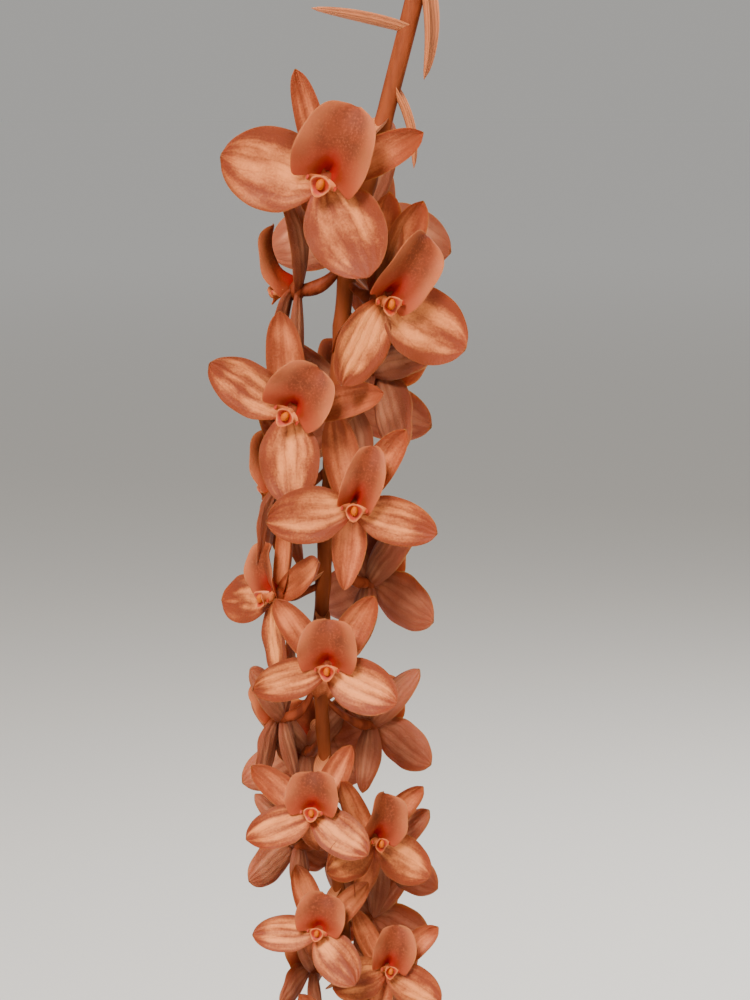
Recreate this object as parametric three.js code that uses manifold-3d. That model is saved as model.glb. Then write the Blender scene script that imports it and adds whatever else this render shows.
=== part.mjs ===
// A potted Dendrochilum orchid with one hanging spray of salmon flowers.
// Millimetres, +Z up. The origin is the middle of the pot's flat underside, and the viewer stands on the -Y side.
// The pieces are a clay pot, the bark it holds, a rhizome with roots, pseudobulbs that each carry one leaf,
// a new shoot with its young leaf, the flower stem that rises from the shoot, and the blooms on the stem.

import * as THREE from "three";
import { mergeVertices } from "three/addons/utils/BufferGeometryUtils.js";
import Module from "manifold-3d";

const wasm = await Module();
wasm.setup();

// Driving dimensions
const CLEAR = 0.3; // the air left between two pieces that touch
const TURN = Math.PI / 180;
const GOLDEN_ANGLE = Math.PI * (3 - Math.sqrt(5));

const POT = {
  height: 105,
  footRadius: 41,
  wall: 4,
  floor: 6,
  flare: 0.195, // growth of the radius for each mm of height
  rimHeight: 25,
  rimStep: 4.2,
  sides: 36,
  drains: 4,
  drainRadius: 4.2,
  drainReach: 23,
};

const BARK = {
  top: 83,
  gap: 0.4, // between the bark and the pot's wall
  bedSides: 20,
  chips: 24,
  chipSize: [21, 13, 8],
  spread: 43, // radius of the disc over which the chips lie
  tilt: 0.35, // the most that a chip leans, in radians
  uneven: 0.2, // the most that a chip's corners are off, as a share of its size
};

const STEM = { footRadius: 1.25, neckRadius: 1.2, tipRadius: 0.5, neckAt: 0.45, sides: 4, steps: 48 };

// Where the flower stem runs: up out of the new shoot, over in an arch and straight down.
const STEM_ROUTE = [
  [-24, -4, 96],
  [-25.5, -4, 150],
  [-32, -5, 215],
  [-47, -7, 280],
  [-70, -9, 327],
  [-96, -11, 345],
  [-115, -12, 333],
  [-124, -12.5, 312],
  [-127, -12.5, 299],
  [-130.1, -12.5, 286.8],
  [-133.9, -12.5, 271.4],
  [-135.3, -12.5, 257],
  [-136.6, -12.5, 240],
  [-137.2, -12.5, 226],
  [-136.3, -12.5, 211],
  [-134.5, -12.5, 195],
  [-132.5, -12.5, 178],
  [-131, -12.5, 160],
  [-130.5, -12.5, 153.5],
  [-130.3, -12.5, 148],
];

const SPRAY = {
  top: 300, // height from which a bloom's drop is counted
  firstDrop: 15, // drop of the first flower stalk's root
  reach: 9, // from the stem's middle to a bloom's middle
  span: 28, // blooms whose middles lie further apart than this can't touch
  pitch: 6.5, // stem length for each bloom, at full size
  sizeAtTop: 1.084,
  taper: 0.0042, // loss of size for each mm of drop
  openBelow: 9, // open blooms under those that are placed one by one
  buds: 4,
  rankAngle: 68,
  rankTwist: 38, // turn of both ranks from one pair of blooms to the next
  rankStart: [80, 40],
  crowding: 0.92, // pitch in the lowest part, as a share of the pitch above
  budReach: 0.55, // reach of a bud, as a share of an open bloom's
};

// The upper blooms, from the top down, with angles in degrees. round is the bloom's place round the stem,
// 0 towards the viewer and 90 to the right. yaw and nod turn its face, and roll its lip, clockwise from upright.
// What a bloom does its own way comes after that: reach, as a share of the usual, the turns of its six blades, lip
// for the lip's length and width and petals for the two petals' widths, as shares, and dorsal for the dorsal's lean.
const PLACED_BLOOMS = [
  {
    drop: 19.9, round: -31, yaw: -6, nod: 0, roll: 24,
    turns: [0, 40, 126, 176, -100, -38], lip: [1.12, 1.04], petals: [1.14, 1.18], dorsal: -58,
  },
  { drop: 24.8, round: 178, yaw: 180, nod: 0, roll: 0, turns: [0, 28, 110, 180, -110, -28] },
  { drop: 32, round: -95, yaw: -98, nod: 0, roll: 0, reach: 0.66, turns: [8, 30, 128, 172, -128, -26], lip: [1, 0.6] },
  {
    drop: 32.6, round: 34, yaw: 28, nod: 0, roll: 4,
    reach: 0.84, turns: [14, 34, 118, 188, -130, -26], lip: [1.14, 0.8], petals: [1.1, 0.84], dorsal: -50,
  },
  { drop: 41, round: 140, yaw: 122, nod: -14, roll: -30, reach: 0.8 },
  { drop: 44.8, round: 172, yaw: 176, nod: 0, roll: 8 },
  {
    drop: 44.6, round: -37, yaw: -8, nod: 0, roll: 36,
    turns: [0, 41, 130, 190, -98, -41], lip: [0.86, 1], petals: [1.05, 0.84], dorsal: -60,
  },
  {
    drop: 54, round: -112, yaw: -112, nod: 0, roll: 0,
    reach: 0.76, turns: [4, 30, 130, 176, -130, -28], lip: [1, 0.6],
  },
  {
    drop: 54.8, round: 20, yaw: 8, nod: 4, roll: 8,
    turns: [6, 32, 102, 177, -106, -28], lip: [1.06, 0.62], petals: [0.78, 0.92], dorsal: -2,
  },
  { drop: 65, round: 134, yaw: 142, nod: 0, roll: 0 },
  {
    drop: 65.2, round: -62, yaw: -54, nod: 4, roll: 10,
    reach: 0.8, turns: [-12, 46, 132, 188, -112, -30], lip: [0.92, 0.7], petals: [0.7, 0.9],
  },
  {
    drop: 72.5, round: 7, yaw: 0, nod: 8, roll: 3,
    turns: [0, 32, 113, 184, -108, -40], lip: [0.9, 0.98], petals: [1.1, 0.76], dorsal: -62,
  },
  {
    drop: 79.5, round: -100, yaw: -112, nod: 0, roll: 0,
    reach: 0.72, turns: [8, 44, 130, 186, -128, -32], lip: [0.9, 0.65],
  },
  { drop: 80.9, round: 124, yaw: 146, nod: 0, roll: 0 },
  { drop: 84.5, round: -160, yaw: -168, nod: 0, roll: 0 },
  {
    drop: 88.9, round: -15, yaw: -5, nod: 24, roll: 2,
    turns: [0, 32, 124, 176, -118, -50], lip: [0.82, 1.05], petals: [0.96, 0.86], dorsal: -64,
  },
  { drop: 92.4, round: 48, yaw: 32, nod: 8, roll: 10 },
  { drop: 94.5, round: -122, yaw: -136, nod: 0, roll: 0, reach: 0.8 },
  { drop: 96, round: 124, yaw: 146, nod: 0, roll: 0 },
  {
    drop: 102.5, round: -26, yaw: -6, nod: 18, roll: 10,
    turns: [0, 34, 128, 184, -104, -34], lip: [0.84, 1], petals: [1, 0.8], dorsal: -60,
  },
  { drop: 103.5, round: 150, yaw: 160, nod: 0, roll: 0 },
  { drop: 107.2, round: 49, yaw: 22, nod: 14, roll: 14 },
  { drop: 108.6, round: -108, yaw: -118, nod: 0, roll: 0, reach: 0.8 },
];

// Bracts without a bloom, at the top of the spray. lean is a bract's rise at its root, and curl is added to it.
const BARE_BRACTS = [
  { drop: 3.8, round: -84, length: 10.6, width: 2.7, lean: 16, curl: -8 },
  { drop: -2.8, round: 66, length: 12.2, width: 2.6, lean: -71, curl: -32 },
  { drop: 9.8, round: 76, length: 9.4, width: 1.7, lean: -56, curl: -36 },
];

// A blade's outline: its place along the blade and its share of the full width there. The tip closes at 1.
const OUTLINES = {
  petal: [[0.4, 0.96], [0.76, 0.86]],
  sepal: [[0.5, 1]],
  lip: [[0.42, 0.97], [0.8, 0.86]],
  bract: [[0, 0.55], [0.45, 1]],
  scale: [[0, 1]],
};

// The bloom's six blades at full size. turn is clockwise from the lip, and side is the face of the heart that the
// blade grows from. lean is its rise towards the viewer at its root, and curl is what is added to that by its tip.
// cup is the rise of its edges, as a share of the half width.
const BLADES = [
  { outline: "lip", side: 0, turn: 0, length: 8.6, width: 8.1, lean: 34, curl: -34, cup: 0.3, crease: true },
  { outline: "sepal", side: 1, turn: 42, length: 12.2, width: 4.4, lean: -8, curl: 26, cup: 0 },
  { outline: "petal", side: 2, turn: 113, length: 11.2, width: 7.3, lean: 14, curl: -22, cup: 0 },
  { outline: "sepal", side: 3, turn: 180, length: 10.5, width: 4.6, lean: -5, curl: -12, cup: 0 },
  { outline: "petal", side: 4, turn: -113, length: 11.2, width: 7.4, lean: 14, curl: -22, cup: 0 },
  { outline: "sepal", side: 5, turn: -42, length: 12.2, width: 4.4, lean: -8, curl: 26, cup: 0 },
];

const BLADE_THICK = 0.7;
const BLADE_WOBBLE = { turn: 9, lean: 12, curl: 16 }; // degrees from the least to the most
const COLUMN = { length: 2.8, radius: 1.1, droop: 12 };
const STALK = { foot: 0.42, neck: 0.82, thinnest: 0.62, straight: 4, stations: [0.66, 0.3, 0] };
const HEART = { radius: 1.35, back: -1.2, waist: -0.1, front: 0.9 };
const BUD = { length: 6.6, radius: 1.9, sunk: 0.3, sides: 6, outline: [[0, 0.45], [0.3, 1], [0.65, 0.8]] };

// The bract at each stalk's root. above is its distance over the stalk, at full size.
const SCALE = { above: 1.5, length: 5.4, width: 2.1, lean: -22, curl: -14 };

// The pseudobulbs along the rhizome, oldest first. Each carries one leaf.
const BULBS = [
  { at: [33, 9], height: 44, radius: 7.2, tilt: 17, leafTurn: 8, leafLength: 205, rise: 74, sag: 118 },
  { at: [22, -12], height: 48, radius: 7.6, tilt: 14, leafTurn: -48, leafLength: 225, rise: 77, sag: 112 },
  { at: [13, 15], height: 50, radius: 7.8, tilt: 13, leafTurn: 58, leafLength: 232, rise: 78, sag: 108 },
  { at: [1, -11], height: 53, radius: 8, tilt: 10, leafTurn: -88, leafLength: 226, rise: 80, sag: 104 },
  { at: [-7, 12], height: 55, radius: 8, tilt: 11, leafTurn: 98, leafLength: 238, rise: 80, sag: 104 },
  { at: [11, 0], height: 58, radius: 7.6, tilt: 5, leafTurn: -12, leafLength: 245, rise: 84, sag: 96 },
];

const CLUMP_MIDDLE = 8; // where along X the pseudobulbs lean away from
const BULB = { sides: 8, ribs: 0.05, outline: [[0, 0.5], [0.18, 0.94], [0.45, 0.94], [0.75, 0.62], [1, 0.3]] };
const SHEATH = { foot: 0.02, widest: 0.22, top: 0.43, girth: 1.1, tear: 0.14 }; // shares of its pseudobulb
const LEAF = {
  width: 35,
  thick: 1.3,
  fold: 0.3, // rise of the blade's edges over its midrib, as a share of the half width
  petiole: 0.24, // the stalk's share of the length
  petioleWidth: 4.6,
  petioleThick: 2.4,
  petioleFold: 0.55,
  steps: 13,
};
const RHIZOME = {
  radius: 3.1,
  branch: 2.6,
  height: 84.5,
  sides: 6,
  steps: 8,
  line: [[33, 9], [22, 1], [10, -1], [-4, 1], [-22, -3.5]],
};
const ROOTS = { count: 5, depth: 52, spread: 10, radius: 1.3, sides: 4, steps: 3 };

// The new shoot and its sheaths: low and high are shares of its height, pointed is the side of a sheath's point.
const SHOOT = {
  foot: [-22, -3.5],
  height: 62,
  tip: 0.17, // height of a sheath's point over its mouth
  sides: 8,
  holeRadius: 7.8,
  sheaths: [
    { low: 0, high: 0.34, radius: 7.1, pointed: 0.4 },
    { low: 0.06, high: 0.6, radius: 6.2, pointed: 3.4 },
    { low: 0.1, high: 0.83, radius: 5.6, pointed: 1.2 },
  ],
};
const YOUNG_LEAF = { foot: [-19.4, -1.6, 128], turn: 72, length: 128, width: 19, rise: 84, sag: 34 };

// Colours
const finish = (color, roughness) => new THREE.MeshStandardMaterial({ color, roughness, metalness: 0 });
const CLAY = finish(0xb5694a, 0.9);
const BARK_BROWN = finish(0x5b3a25, 0.95);
const ROOT_BUFF = finish(0xa99a7c, 0.9);
const BULB_GREEN = finish(0x6f8440, 0.55);
const LEAF_GREEN = finish(0x3f6a2e, 0.45);
const SHOOT_GREEN = finish(0x8a9a52, 0.6);
const STEM_BROWN = finish(0x96522f, 0.6);
const SALMON = finish(0xd98b66, 0.6);

// Small tools

const point = (x, y, z) => new THREE.Vector3(x, y, z);

// A repeatable number from -0.5 to 0.5 for piece i and use k.
function wobble(i, k) {
  const s = Math.sin(i * 12.9898 + k * 78.233) * 43758.5453;
  return s - Math.floor(s) - 0.5;
}

// A skin that grows ring by ring. Rings run anticlockwise as seen from where the skin is growing to.
function skin() {
  const corners = [];
  const faces = [];
  const add = (points) => points.map((p) => corners.push(p) - 1);
  // The second half of a ring splits its quads the other way, so that a blade's two faces are split alike.
  const join = (a, b) => {
    if (a.length === 4 && b.length === 6) {
      faces.push(a[0], b[1], b[0], a[0], a[1], b[1], a[1], b[2], b[1], a[1], a[2], b[3], a[1], b[3], b[2]);
      faces.push(a[2], b[4], b[3], a[2], a[3], b[4], a[3], b[5], b[4], a[3], b[0], b[5], a[3], a[0], b[0]);
      return;
    }
    const sides = Math.max(a.length, b.length);
    for (let i = 0; i < sides; i++) {
      const j = (i + 1) % sides;
      if (a.length === 1) faces.push(a[0], b[j], b[i]);
      else if (b.length === 1) faces.push(a[i], a[j], b[0]);
      else if (i < sides / 2) faces.push(a[i], a[j], b[j], a[i], b[j], b[i]);
      else faces.push(a[i], a[j], b[i], a[j], b[j], b[i]);
    }
  };
  const close = (ring) => {
    for (let i = 1; i + 1 < ring.length; i++) faces.push(ring[0], ring[i], ring[i + 1]);
  };
  // Runs through rings of points from a ring that is already there, and closes the end.
  const run = (from, rings) => {
    let last = from;
    for (const ring of rings) {
      const next = add(ring);
      if (last) join(last, next);
      else close([...next].reverse());
      last = next;
    }
    close(last);
  };
  const geometry = () => {
    const made = new THREE.BufferGeometry().setFromPoints(corners);
    made.setIndex(faces);
    return made;
  };
  return { add, run, close, geometry };
}

// A closed geometry over rings of points. A ring of one point is a tip.
function loft(rings) {
  const made = skin();
  made.run(null, rings);
  return made.geometry();
}

// A closed geometry as a solid, its faces turned outwards.
function solid(geometry) {
  const bare = geometry.clone();
  bare.deleteAttribute("normal");
  bare.deleteAttribute("uv");
  const merged = mergeVertices(bare, 1e-4);
  const make = (triVerts) =>
    new wasm.Manifold(
      new wasm.Mesh({ numProp: 3, vertProperties: merged.attributes.position.array, triVerts }),
    );
  const faces = new Uint32Array(merged.index.array);
  const made = make(faces);
  if (made.volume() > 0) return made;
  for (let i = 0; i < faces.length; i += 3) [faces[i + 1], faces[i + 2]] = [faces[i + 2], faces[i + 1]];
  return make(faces);
}

const fuse = (solids) => solids.reduce((all, one) => all.add(one));

// The biggest body of a solid, without the scraps that a cut leaves.
const biggest = (made) => made.decompose().reduce((a, b) => (b.volume() > a.volume() ? b : a));

function mesh(name, made, material) {
  const { vertProperties, triVerts } = made.getMesh();
  const geometry = new THREE.BufferGeometry();
  geometry.setAttribute("position", new THREE.BufferAttribute(vertProperties, 3));
  geometry.setIndex(new THREE.BufferAttribute(triVerts, 1));
  geometry.computeVertexNormals();
  const made3d = new THREE.Mesh(geometry, material);
  made3d.name = name;
  return made3d;
}

// A ring of points round a centre, in the plane of two directions. shape gives the radius at each angle.
function ringAt(centre, across, over, sides, shape) {
  return Array.from({ length: sides }, (_, i) => {
    const angle = (2 * Math.PI * i) / sides;
    const radius = shape(angle, i);
    return centre
      .clone()
      .addScaledVector(across, radius * Math.cos(angle))
      .addScaledVector(over, radius * Math.sin(angle));
  });
}

// Two directions square to an axis. The first lies as near as it can to the hint.
function squareTo(axis, hint) {
  const across = hint.clone().addScaledVector(axis, -hint.dot(axis)).normalize();
  return [across, new THREE.Vector3().crossVectors(axis, across)];
}

// A round rod along a curve. radius gives its radius at a share of the way, and grow is added all round.
function rod(curve, radius, sides, steps, grow = 0, hint = point(1, 0, 0)) {
  const rings = [];
  for (let k = 0; k <= steps; k++) {
    const t = k / steps;
    const axis = curve.getTangent(t);
    const [across, over] = squareTo(axis, hint);
    const past = k === 0 ? -grow : k === steps ? grow : 0;
    const centre = curve.getPoint(t).addScaledVector(axis, past);
    rings.push(ringAt(centre, across, over, sides, () => radius(t) + grow));
  }
  return solid(loft(rings));
}

// The flower stem's middle line
const stemCurve = new THREE.CatmullRomCurve3(
  STEM_ROUTE.map((p) => point(...p)),
  false,
  "catmullrom",
  0.5,
);

// The stem's middle at a drop below the spray's top, found by halving along the hanging part.
function stemAt(drop) {
  const height = SPRAY.top - drop;
  let [high, low] = [0.32, 1];
  for (let n = 0; n < 40; n++) {
    const middle = (high + low) / 2;
    if (stemCurve.getPoint(middle).z > height) high = middle;
    else low = middle;
  }
  return stemCurve.getPoint(low);
}

const sizeAt = (drop) => SPRAY.sizeAtTop - SPRAY.taper * drop;

// All blooms from the top down: those placed one by one, and below them two ranks that wind round the stem.
function allBlooms() {
  const blooms = PLACED_BLOOMS.map((bloom) => ({ ...bloom, open: true }));
  let drop = blooms.at(-1).drop;
  for (let k = 0; k < SPRAY.openBelow + SPRAY.buds; k++) {
    drop += SPRAY.pitch * SPRAY.crowding * sizeAt(drop);
    const rank = k % 2;
    const twist = SPRAY.rankTwist * Math.floor(k / 2);
    const round = (rank ? -1 : 1) * SPRAY.rankAngle + SPRAY.rankStart[rank] + twist;
    blooms.push({ drop, round, yaw: round, nod: 8, roll: 24 * wobble(k, 3), open: k < SPRAY.openBelow });
  }
  // The stalks leave the stem one below another, further apart where the blooms are bigger.
  for (const bloom of blooms) bloom.size = sizeAt(bloom.drop);
  const allSizes = blooms.reduce((sum, bloom) => sum + bloom.size, 0);
  let root = SPRAY.firstDrop;
  for (const bloom of blooms) {
    bloom.root = root;
    root += ((drop - SPRAY.firstDrop) * bloom.size) / allSizes;
  }
  return blooms;
}

// A bloom's middle, and its directions: right and up as its viewer sees them, and out of its face.
function bloomPlace(bloom) {
  const [round, yaw, nod, roll] = [bloom.round, bloom.yaw, bloom.nod, bloom.roll].map((a) => a * TURN);
  const reach = SPRAY.reach * bloom.size * (bloom.open ? (bloom.reach ?? 1) : SPRAY.budReach);
  const out = point(Math.sin(round), -Math.cos(round), 0);
  const middle = stemAt(bloom.drop).addScaledVector(out, reach);
  const face = point(Math.sin(yaw) * Math.cos(nod), -Math.cos(yaw) * Math.cos(nod), Math.sin(nod));
  const up = point(0, 0, 1).addScaledVector(face, -face.z).normalize().applyAxisAngle(face, -roll);
  const right = new THREE.Vector3().crossVectors(up, face);
  return { middle, face, up, right, out };
}

// The rings of a blade that leaves its place's middle, lifted towards the face. A wide blade has a crease.
function bladeRings(spec, size, place, lift, grow) {
  const turn = spec.turn * TURN;
  const along = place.up.clone().multiplyScalar(Math.cos(turn)).addScaledVector(place.right, Math.sin(turn));
  const across = new THREE.Vector3().crossVectors(along, place.face);
  const length = spec.length * size + grow;
  const deep = BLADE_THICK / 2 + grow;
  let middle = place.middle.clone().addScaledVector(place.face, lift);
  let before = 0;
  return [...OUTLINES[spec.outline], [1, 0]].map(([t, share]) => {
    const angle = (spec.lean + (spec.curl * (t + before)) / 2) * TURN;
    const tangent = along.clone().multiplyScalar(Math.cos(angle)).addScaledVector(place.face, Math.sin(angle));
    middle = middle.clone().addScaledVector(tangent, (t - before) * length);
    before = t;
    if (!share) return [middle];
    const front = new THREE.Vector3().crossVectors(across, tangent);
    const half = (spec.width * size * share) / 2 + grow;
    const corner = (side, over) =>
      middle
        .clone()
        .addScaledVector(across, side * half)
        .addScaledVector(front, spec.cup * Math.abs(side) * half + over * deep);
    if (spec.crease) return [[-1, 1], [0, 1], [1, 1], [1, -1], [0, -1], [-1, -1]].map((c) => corner(...c));
    return [[-1, 1], [1, 1], [1, -1], [-1, -1]].map((c) => corner(...c));
  });
}

// Six points round a centre, the first of them to the left of the way up.
function hexagon(centre, radius, up, right) {
  return Array.from({ length: 6 }, (_, k) => {
    const angle = (60 * k - 30) * TURN;
    return centre
      .clone()
      .addScaledVector(up, radius * Math.cos(angle))
      .addScaledVector(right, radius * Math.sin(angle));
  });
}

// The rings of a bloom's stalk, from just behind its face back to the stem. It swells to the seed vessel.
function stalkRings(bloom, place, grow) {
  const root = stemAt(bloom.root);
  const end = place.middle.clone().addScaledVector(place.face, HEART.back * bloom.size);
  const bend = end.clone().addScaledVector(place.face, -STALK.straight * bloom.size);
  const curve = new THREE.QuadraticBezierCurve3(root, bend, end);
  return STALK.stations.map((t) => {
    const away = curve.getTangent(t).negate();
    const [up] = squareTo(away, place.up);
    const right = new THREE.Vector3().crossVectors(away, up);
    const radius = THREE.MathUtils.lerp(STALK.foot, STALK.neck, t) * Math.max(bloom.size, STALK.thinnest);
    return hexagon(curve.getPoint(t), radius + grow, up, right);
  });
}

// A stalk by itself, from the back of the heart.
function stalk(bloom, place, grow) {
  const back = place.middle.clone().addScaledVector(place.face, HEART.back * bloom.size + grow);
  const first = hexagon(back, HEART.radius * bloom.size + grow, place.up, place.right);
  return solid(loft([first, ...stalkRings(bloom, place, grow)]));
}

// The rings of an open bloom: three hexagons for its heart, from the back to the front, and those of its
// blades, its column and its stalk. The sepals leave the heart's back half, the petals and the lip its front half.
function bloomRings(bloom, place, i, grow) {
  const size = bloom.size;
  const levels = [HEART.back * size, HEART.waist * size, HEART.front * size];
  const heart = levels.map((level) => {
    const centre = place.middle.clone().addScaledVector(place.face, level);
    return hexagon(centre, HEART.radius * size, place.up, place.right);
  });
  const blades = BLADES.map((spec, k) => {
    const own = { ...spec };
    own.turn = bloom.turns?.[k] ?? spec.turn + BLADE_WOBBLE.turn * wobble(i, k);
    own.lean += BLADE_WOBBLE.lean * wobble(i, k + 10);
    own.curl += BLADE_WOBBLE.curl * wobble(i, k + 20);
    if (spec.side === 3) own.lean = bloom.dorsal ?? own.lean;
    if (spec.outline === "petal") own.width *= bloom.petals?.[spec.side === 2 ? 0 : 1] ?? 1;
    if (spec.outline === "lip") {
      own.length *= bloom.lip?.[0] ?? 1;
      own.width *= bloom.lip?.[1] ?? 1;
    }
    const half = spec.outline === "sepal" ? 0 : 1;
    const lift = (levels[half] + levels[half + 1]) / 2;
    return { half, side: spec.side, rings: bladeRings(own, size, place, lift, grow) };
  });
  const droop = COLUMN.droop * TURN;
  const length = COLUMN.length * size + grow;
  const columnEnd = place.middle
    .clone()
    .addScaledVector(place.face, length * Math.cos(droop))
    .addScaledVector(place.up, -length * Math.sin(droop));
  const column = hexagon(columnEnd, COLUMN.radius * size + grow, place.up, place.right);
  return { heart, blades, column, stalk: stalkRings(bloom, place, grow) };
}

// The corners of one side of the heart, in its back half or its front half, as its blade's first ring
function sideOf(heart, side, half) {
  const next = (side + 1) % 6;
  return [heart[half + 1][side], heart[half + 1][next], heart[half][next], heart[half][side]];
}

// An open bloom in one skin
function openBloom(bloom, place, i) {
  const { heart, blades, column, stalk } = bloomRings(bloom, place, i, 0);
  const made = skin();
  const corners = heart.map(made.add);
  for (const { half, side, rings } of blades) {
    made.run(sideOf(corners, side, half), rings);
    made.close(sideOf(corners, side, 1 - half));
  }
  made.run([...corners[2]].reverse(), [column.reverse()]);
  made.run(corners[0], stalk);
  return solid(made.geometry());
}

// The same bloom made thicker, for cutting what must stay clear of it. Its pieces cross, so they are joined.
function thickBloom(bloom, place, i) {
  const { heart, blades, column, stalk } = bloomRings(bloom, place, i, CLEAR);
  const pieces = blades.map(({ half, side, rings }) => {
    const root = sideOf(heart, side, half).map((corner) => corner.clone());
    const across = root[1].clone().sub(root[0]).normalize();
    const signs = [[-1, 1], [1, 1], [1, -1], [-1, -1]];
    root.forEach((corner, n) => {
      corner.addScaledVector(across, signs[n][0] * CLEAR).addScaledVector(place.face, signs[n][1] * CLEAR);
    });
    return loft([root, ...rings]);
  });
  const wide = (at, past) =>
    hexagon(
      place.middle.clone().addScaledVector(place.face, at * bloom.size + past),
      HEART.radius * bloom.size + CLEAR,
      place.up,
      place.right,
    );
  pieces.push(loft([column, wide(HEART.front, CLEAR), wide(HEART.back, -CLEAR), ...stalk]));
  return fuse(pieces.map(solid));
}

// A closed bud: a pointed spindle.
function bud(bloom, place, grow) {
  const length = BUD.length * bloom.size + grow;
  const at = (t) => place.middle.clone().addScaledVector(place.face, (t - BUD.sunk) * length);
  const rings = BUD.outline.map(([t, share]) =>
    ringAt(at(t), place.right, place.up, BUD.sides, () => BUD.radius * bloom.size * share + grow),
  );
  return solid(loft([...rings, [at(1)]]));
}

// The flower stem with its bracts. grow makes it thicker all round, for cutting what must stay clear of it.
function flowerStem(blooms, grow) {
  const { footRadius, neckRadius, tipRadius, neckAt } = STEM;
  const radius = (t) =>
    t < neckAt
      ? THREE.MathUtils.lerp(footRadius, neckRadius, t / neckAt)
      : THREE.MathUtils.lerp(neckRadius, tipRadius, (t - neckAt) / (1 - neckAt));
  const parts = [rod(stemCurve, radius, STEM.sides, STEM.steps, grow, point(0, 1, 0))];
  const bract = (spec, drop, round) => {
    const outward = point(Math.sin(round * TURN), -Math.cos(round * TURN), 0);
    const face = point(0, 0, 1);
    const right = new THREE.Vector3().crossVectors(outward, face);
    const place = { middle: stemAt(drop), face, up: outward, right };
    parts.push(solid(loft(bladeRings({ ...spec, turn: 0, cup: 0 }, 1, place, 0, grow))));
  };
  for (const { root, round, size } of blooms) {
    const spec = { ...SCALE, outline: "scale", length: SCALE.length * size, width: SCALE.width * size };
    bract(spec, root - SCALE.above * size, round);
  }
  for (const spec of BARE_BRACTS) bract({ ...spec, outline: "bract" }, spec.drop, spec.round);
  return fuse(parts);
}

// Each bloom as one solid, clear of the stem, of the other stalks and of the blooms finished before it. Those
// that face the viewer come first, so they stay whole.
function bloomSolids(blooms, thickStem) {
  const places = blooms.map(bloomPlace);
  const closed = (i, grow) => bud(blooms[i], places[i], grow).add(stalk(blooms[i], places[i], grow));
  const thickStalks = blooms.map((bloom, i) => stalk(bloom, places[i], CLEAR));
  const order = blooms.map((_, i) => i).sort((a, b) => places[a].out.y - places[b].out.y);
  const made = [];
  const thickBlooms = new Map();
  for (const i of order) {
    let bloom = blooms[i].open ? openBloom(blooms[i], places[i], i) : closed(i, 0);
    for (const j of order) {
      if (j === i || places[i].middle.distanceTo(places[j].middle) > SPRAY.span) continue;
      bloom = bloom.subtract(thickBlooms.get(j) ?? thickStalks[j]);
    }
    made[i] = biggest(bloom.subtract(thickStem));
    thickBlooms.set(i, blooms[i].open ? thickBloom(blooms[i], places[i], i) : closed(i, CLEAR));
  }
  return made;
}

// The clay pot, with drain holes off its centre.
function claypot() {
  const outer = (z) => POT.footRadius + POT.flare * z;
  const inner = (z) => POT.footRadius - POT.wall + POT.flare * (z - POT.floor);
  const rimFoot = POT.height - POT.rimHeight;
  const rim = outer(rimFoot) + POT.rimStep;
  const profile = [
    [0, 0],
    [POT.footRadius, 0],
    [outer(rimFoot), rimFoot],
    [rim, rimFoot + 1.6],
    [rim + 1.6, POT.height - 1.6],
    [rim + 0.4, POT.height],
    [inner(POT.height) + 1, POT.height],
    [inner(POT.height - 1.4), POT.height - 1.4],
    [inner(POT.floor), POT.floor],
    [0, POT.floor],
  ].map(([x, y]) => new THREE.Vector2(x, y));
  let pot = solid(new THREE.LatheGeometry(profile, POT.sides).rotateX(Math.PI / 2));
  for (let k = 0; k < POT.drains; k++) {
    const angle = ((k + 0.5) * 2 * Math.PI) / POT.drains;
    const drain = new THREE.CylinderGeometry(POT.drainRadius, POT.drainRadius, 4 * POT.floor, 10)
      .rotateX(Math.PI / 2)
      .translate(POT.drainReach * Math.cos(angle), POT.drainReach * Math.sin(angle), 0);
    pot = pot.subtract(solid(drain));
  }
  return { pot, inner };
}

// One piece of bark: a box with its corners moved.
function chip(i) {
  const [length, width, height] = BARK.chipSize.map((size, k) => size * (1 + 0.5 * wobble(i, k + 1)));
  const box = new THREE.BoxGeometry(length, width, height);
  box.deleteAttribute("normal");
  box.deleteAttribute("uv");
  const made = mergeVertices(box, 1e-3);
  const corners = made.getAttribute("position");
  for (let v = 0; v < corners.count; v++) {
    const [x, y, z] = [10, 20, 30].map((use) => 1 + 2 * BARK.uneven * wobble(i, use + v));
    corners.setXYZ(v, corners.getX(v) * x, corners.getY(v) * y, corners.getZ(v) * z);
  }
  made.rotateX(2 * BARK.tilt * wobble(i, 4));
  made.rotateY(2 * BARK.tilt * wobble(i, 5));
  made.rotateZ(2 * Math.PI * wobble(i, 6));
  const reach = BARK.spread * Math.sqrt((i + 0.5) / BARK.chips);
  const angle = i * GOLDEN_ANGLE;
  made.translate(reach * Math.cos(angle), reach * Math.sin(angle), BARK.top + 1 + 2.4 * wobble(i, 7));
  return solid(made);
}

// The bark that fills the pot, with a plain hole or groove for everything that stands in it.
function barkFill(inner, holes) {
  const low = POT.floor + CLEAR;
  const cup = (top) => {
    const profile = [[0, low], [inner(low) - BARK.gap, low], [inner(top) - BARK.gap, top], [0, top]];
    const outline = profile.map(([x, y]) => new THREE.Vector2(x, y));
    return solid(new THREE.LatheGeometry(outline, BARK.bedSides).rotateX(Math.PI / 2));
  };
  const chips = Array.from({ length: BARK.chips }, (_, i) => chip(i));
  const heap = fuse([cup(BARK.top), ...chips]).intersect(cup(POT.height - 3));
  return biggest(heap.subtract(holes));
}

// The foot of a pseudobulb in the bark, and its axis, which leans out of the clump
function bulbLine(spec) {
  const outward = Math.atan2(spec.at[1], spec.at[0] - CLUMP_MIDDLE);
  const tilt = spec.tilt * TURN;
  const axis = point(Math.sin(tilt) * Math.cos(outward), Math.sin(tilt) * Math.sin(outward), Math.cos(tilt));
  return { foot: point(spec.at[0], spec.at[1], RHIZOME.height), axis };
}

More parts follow.
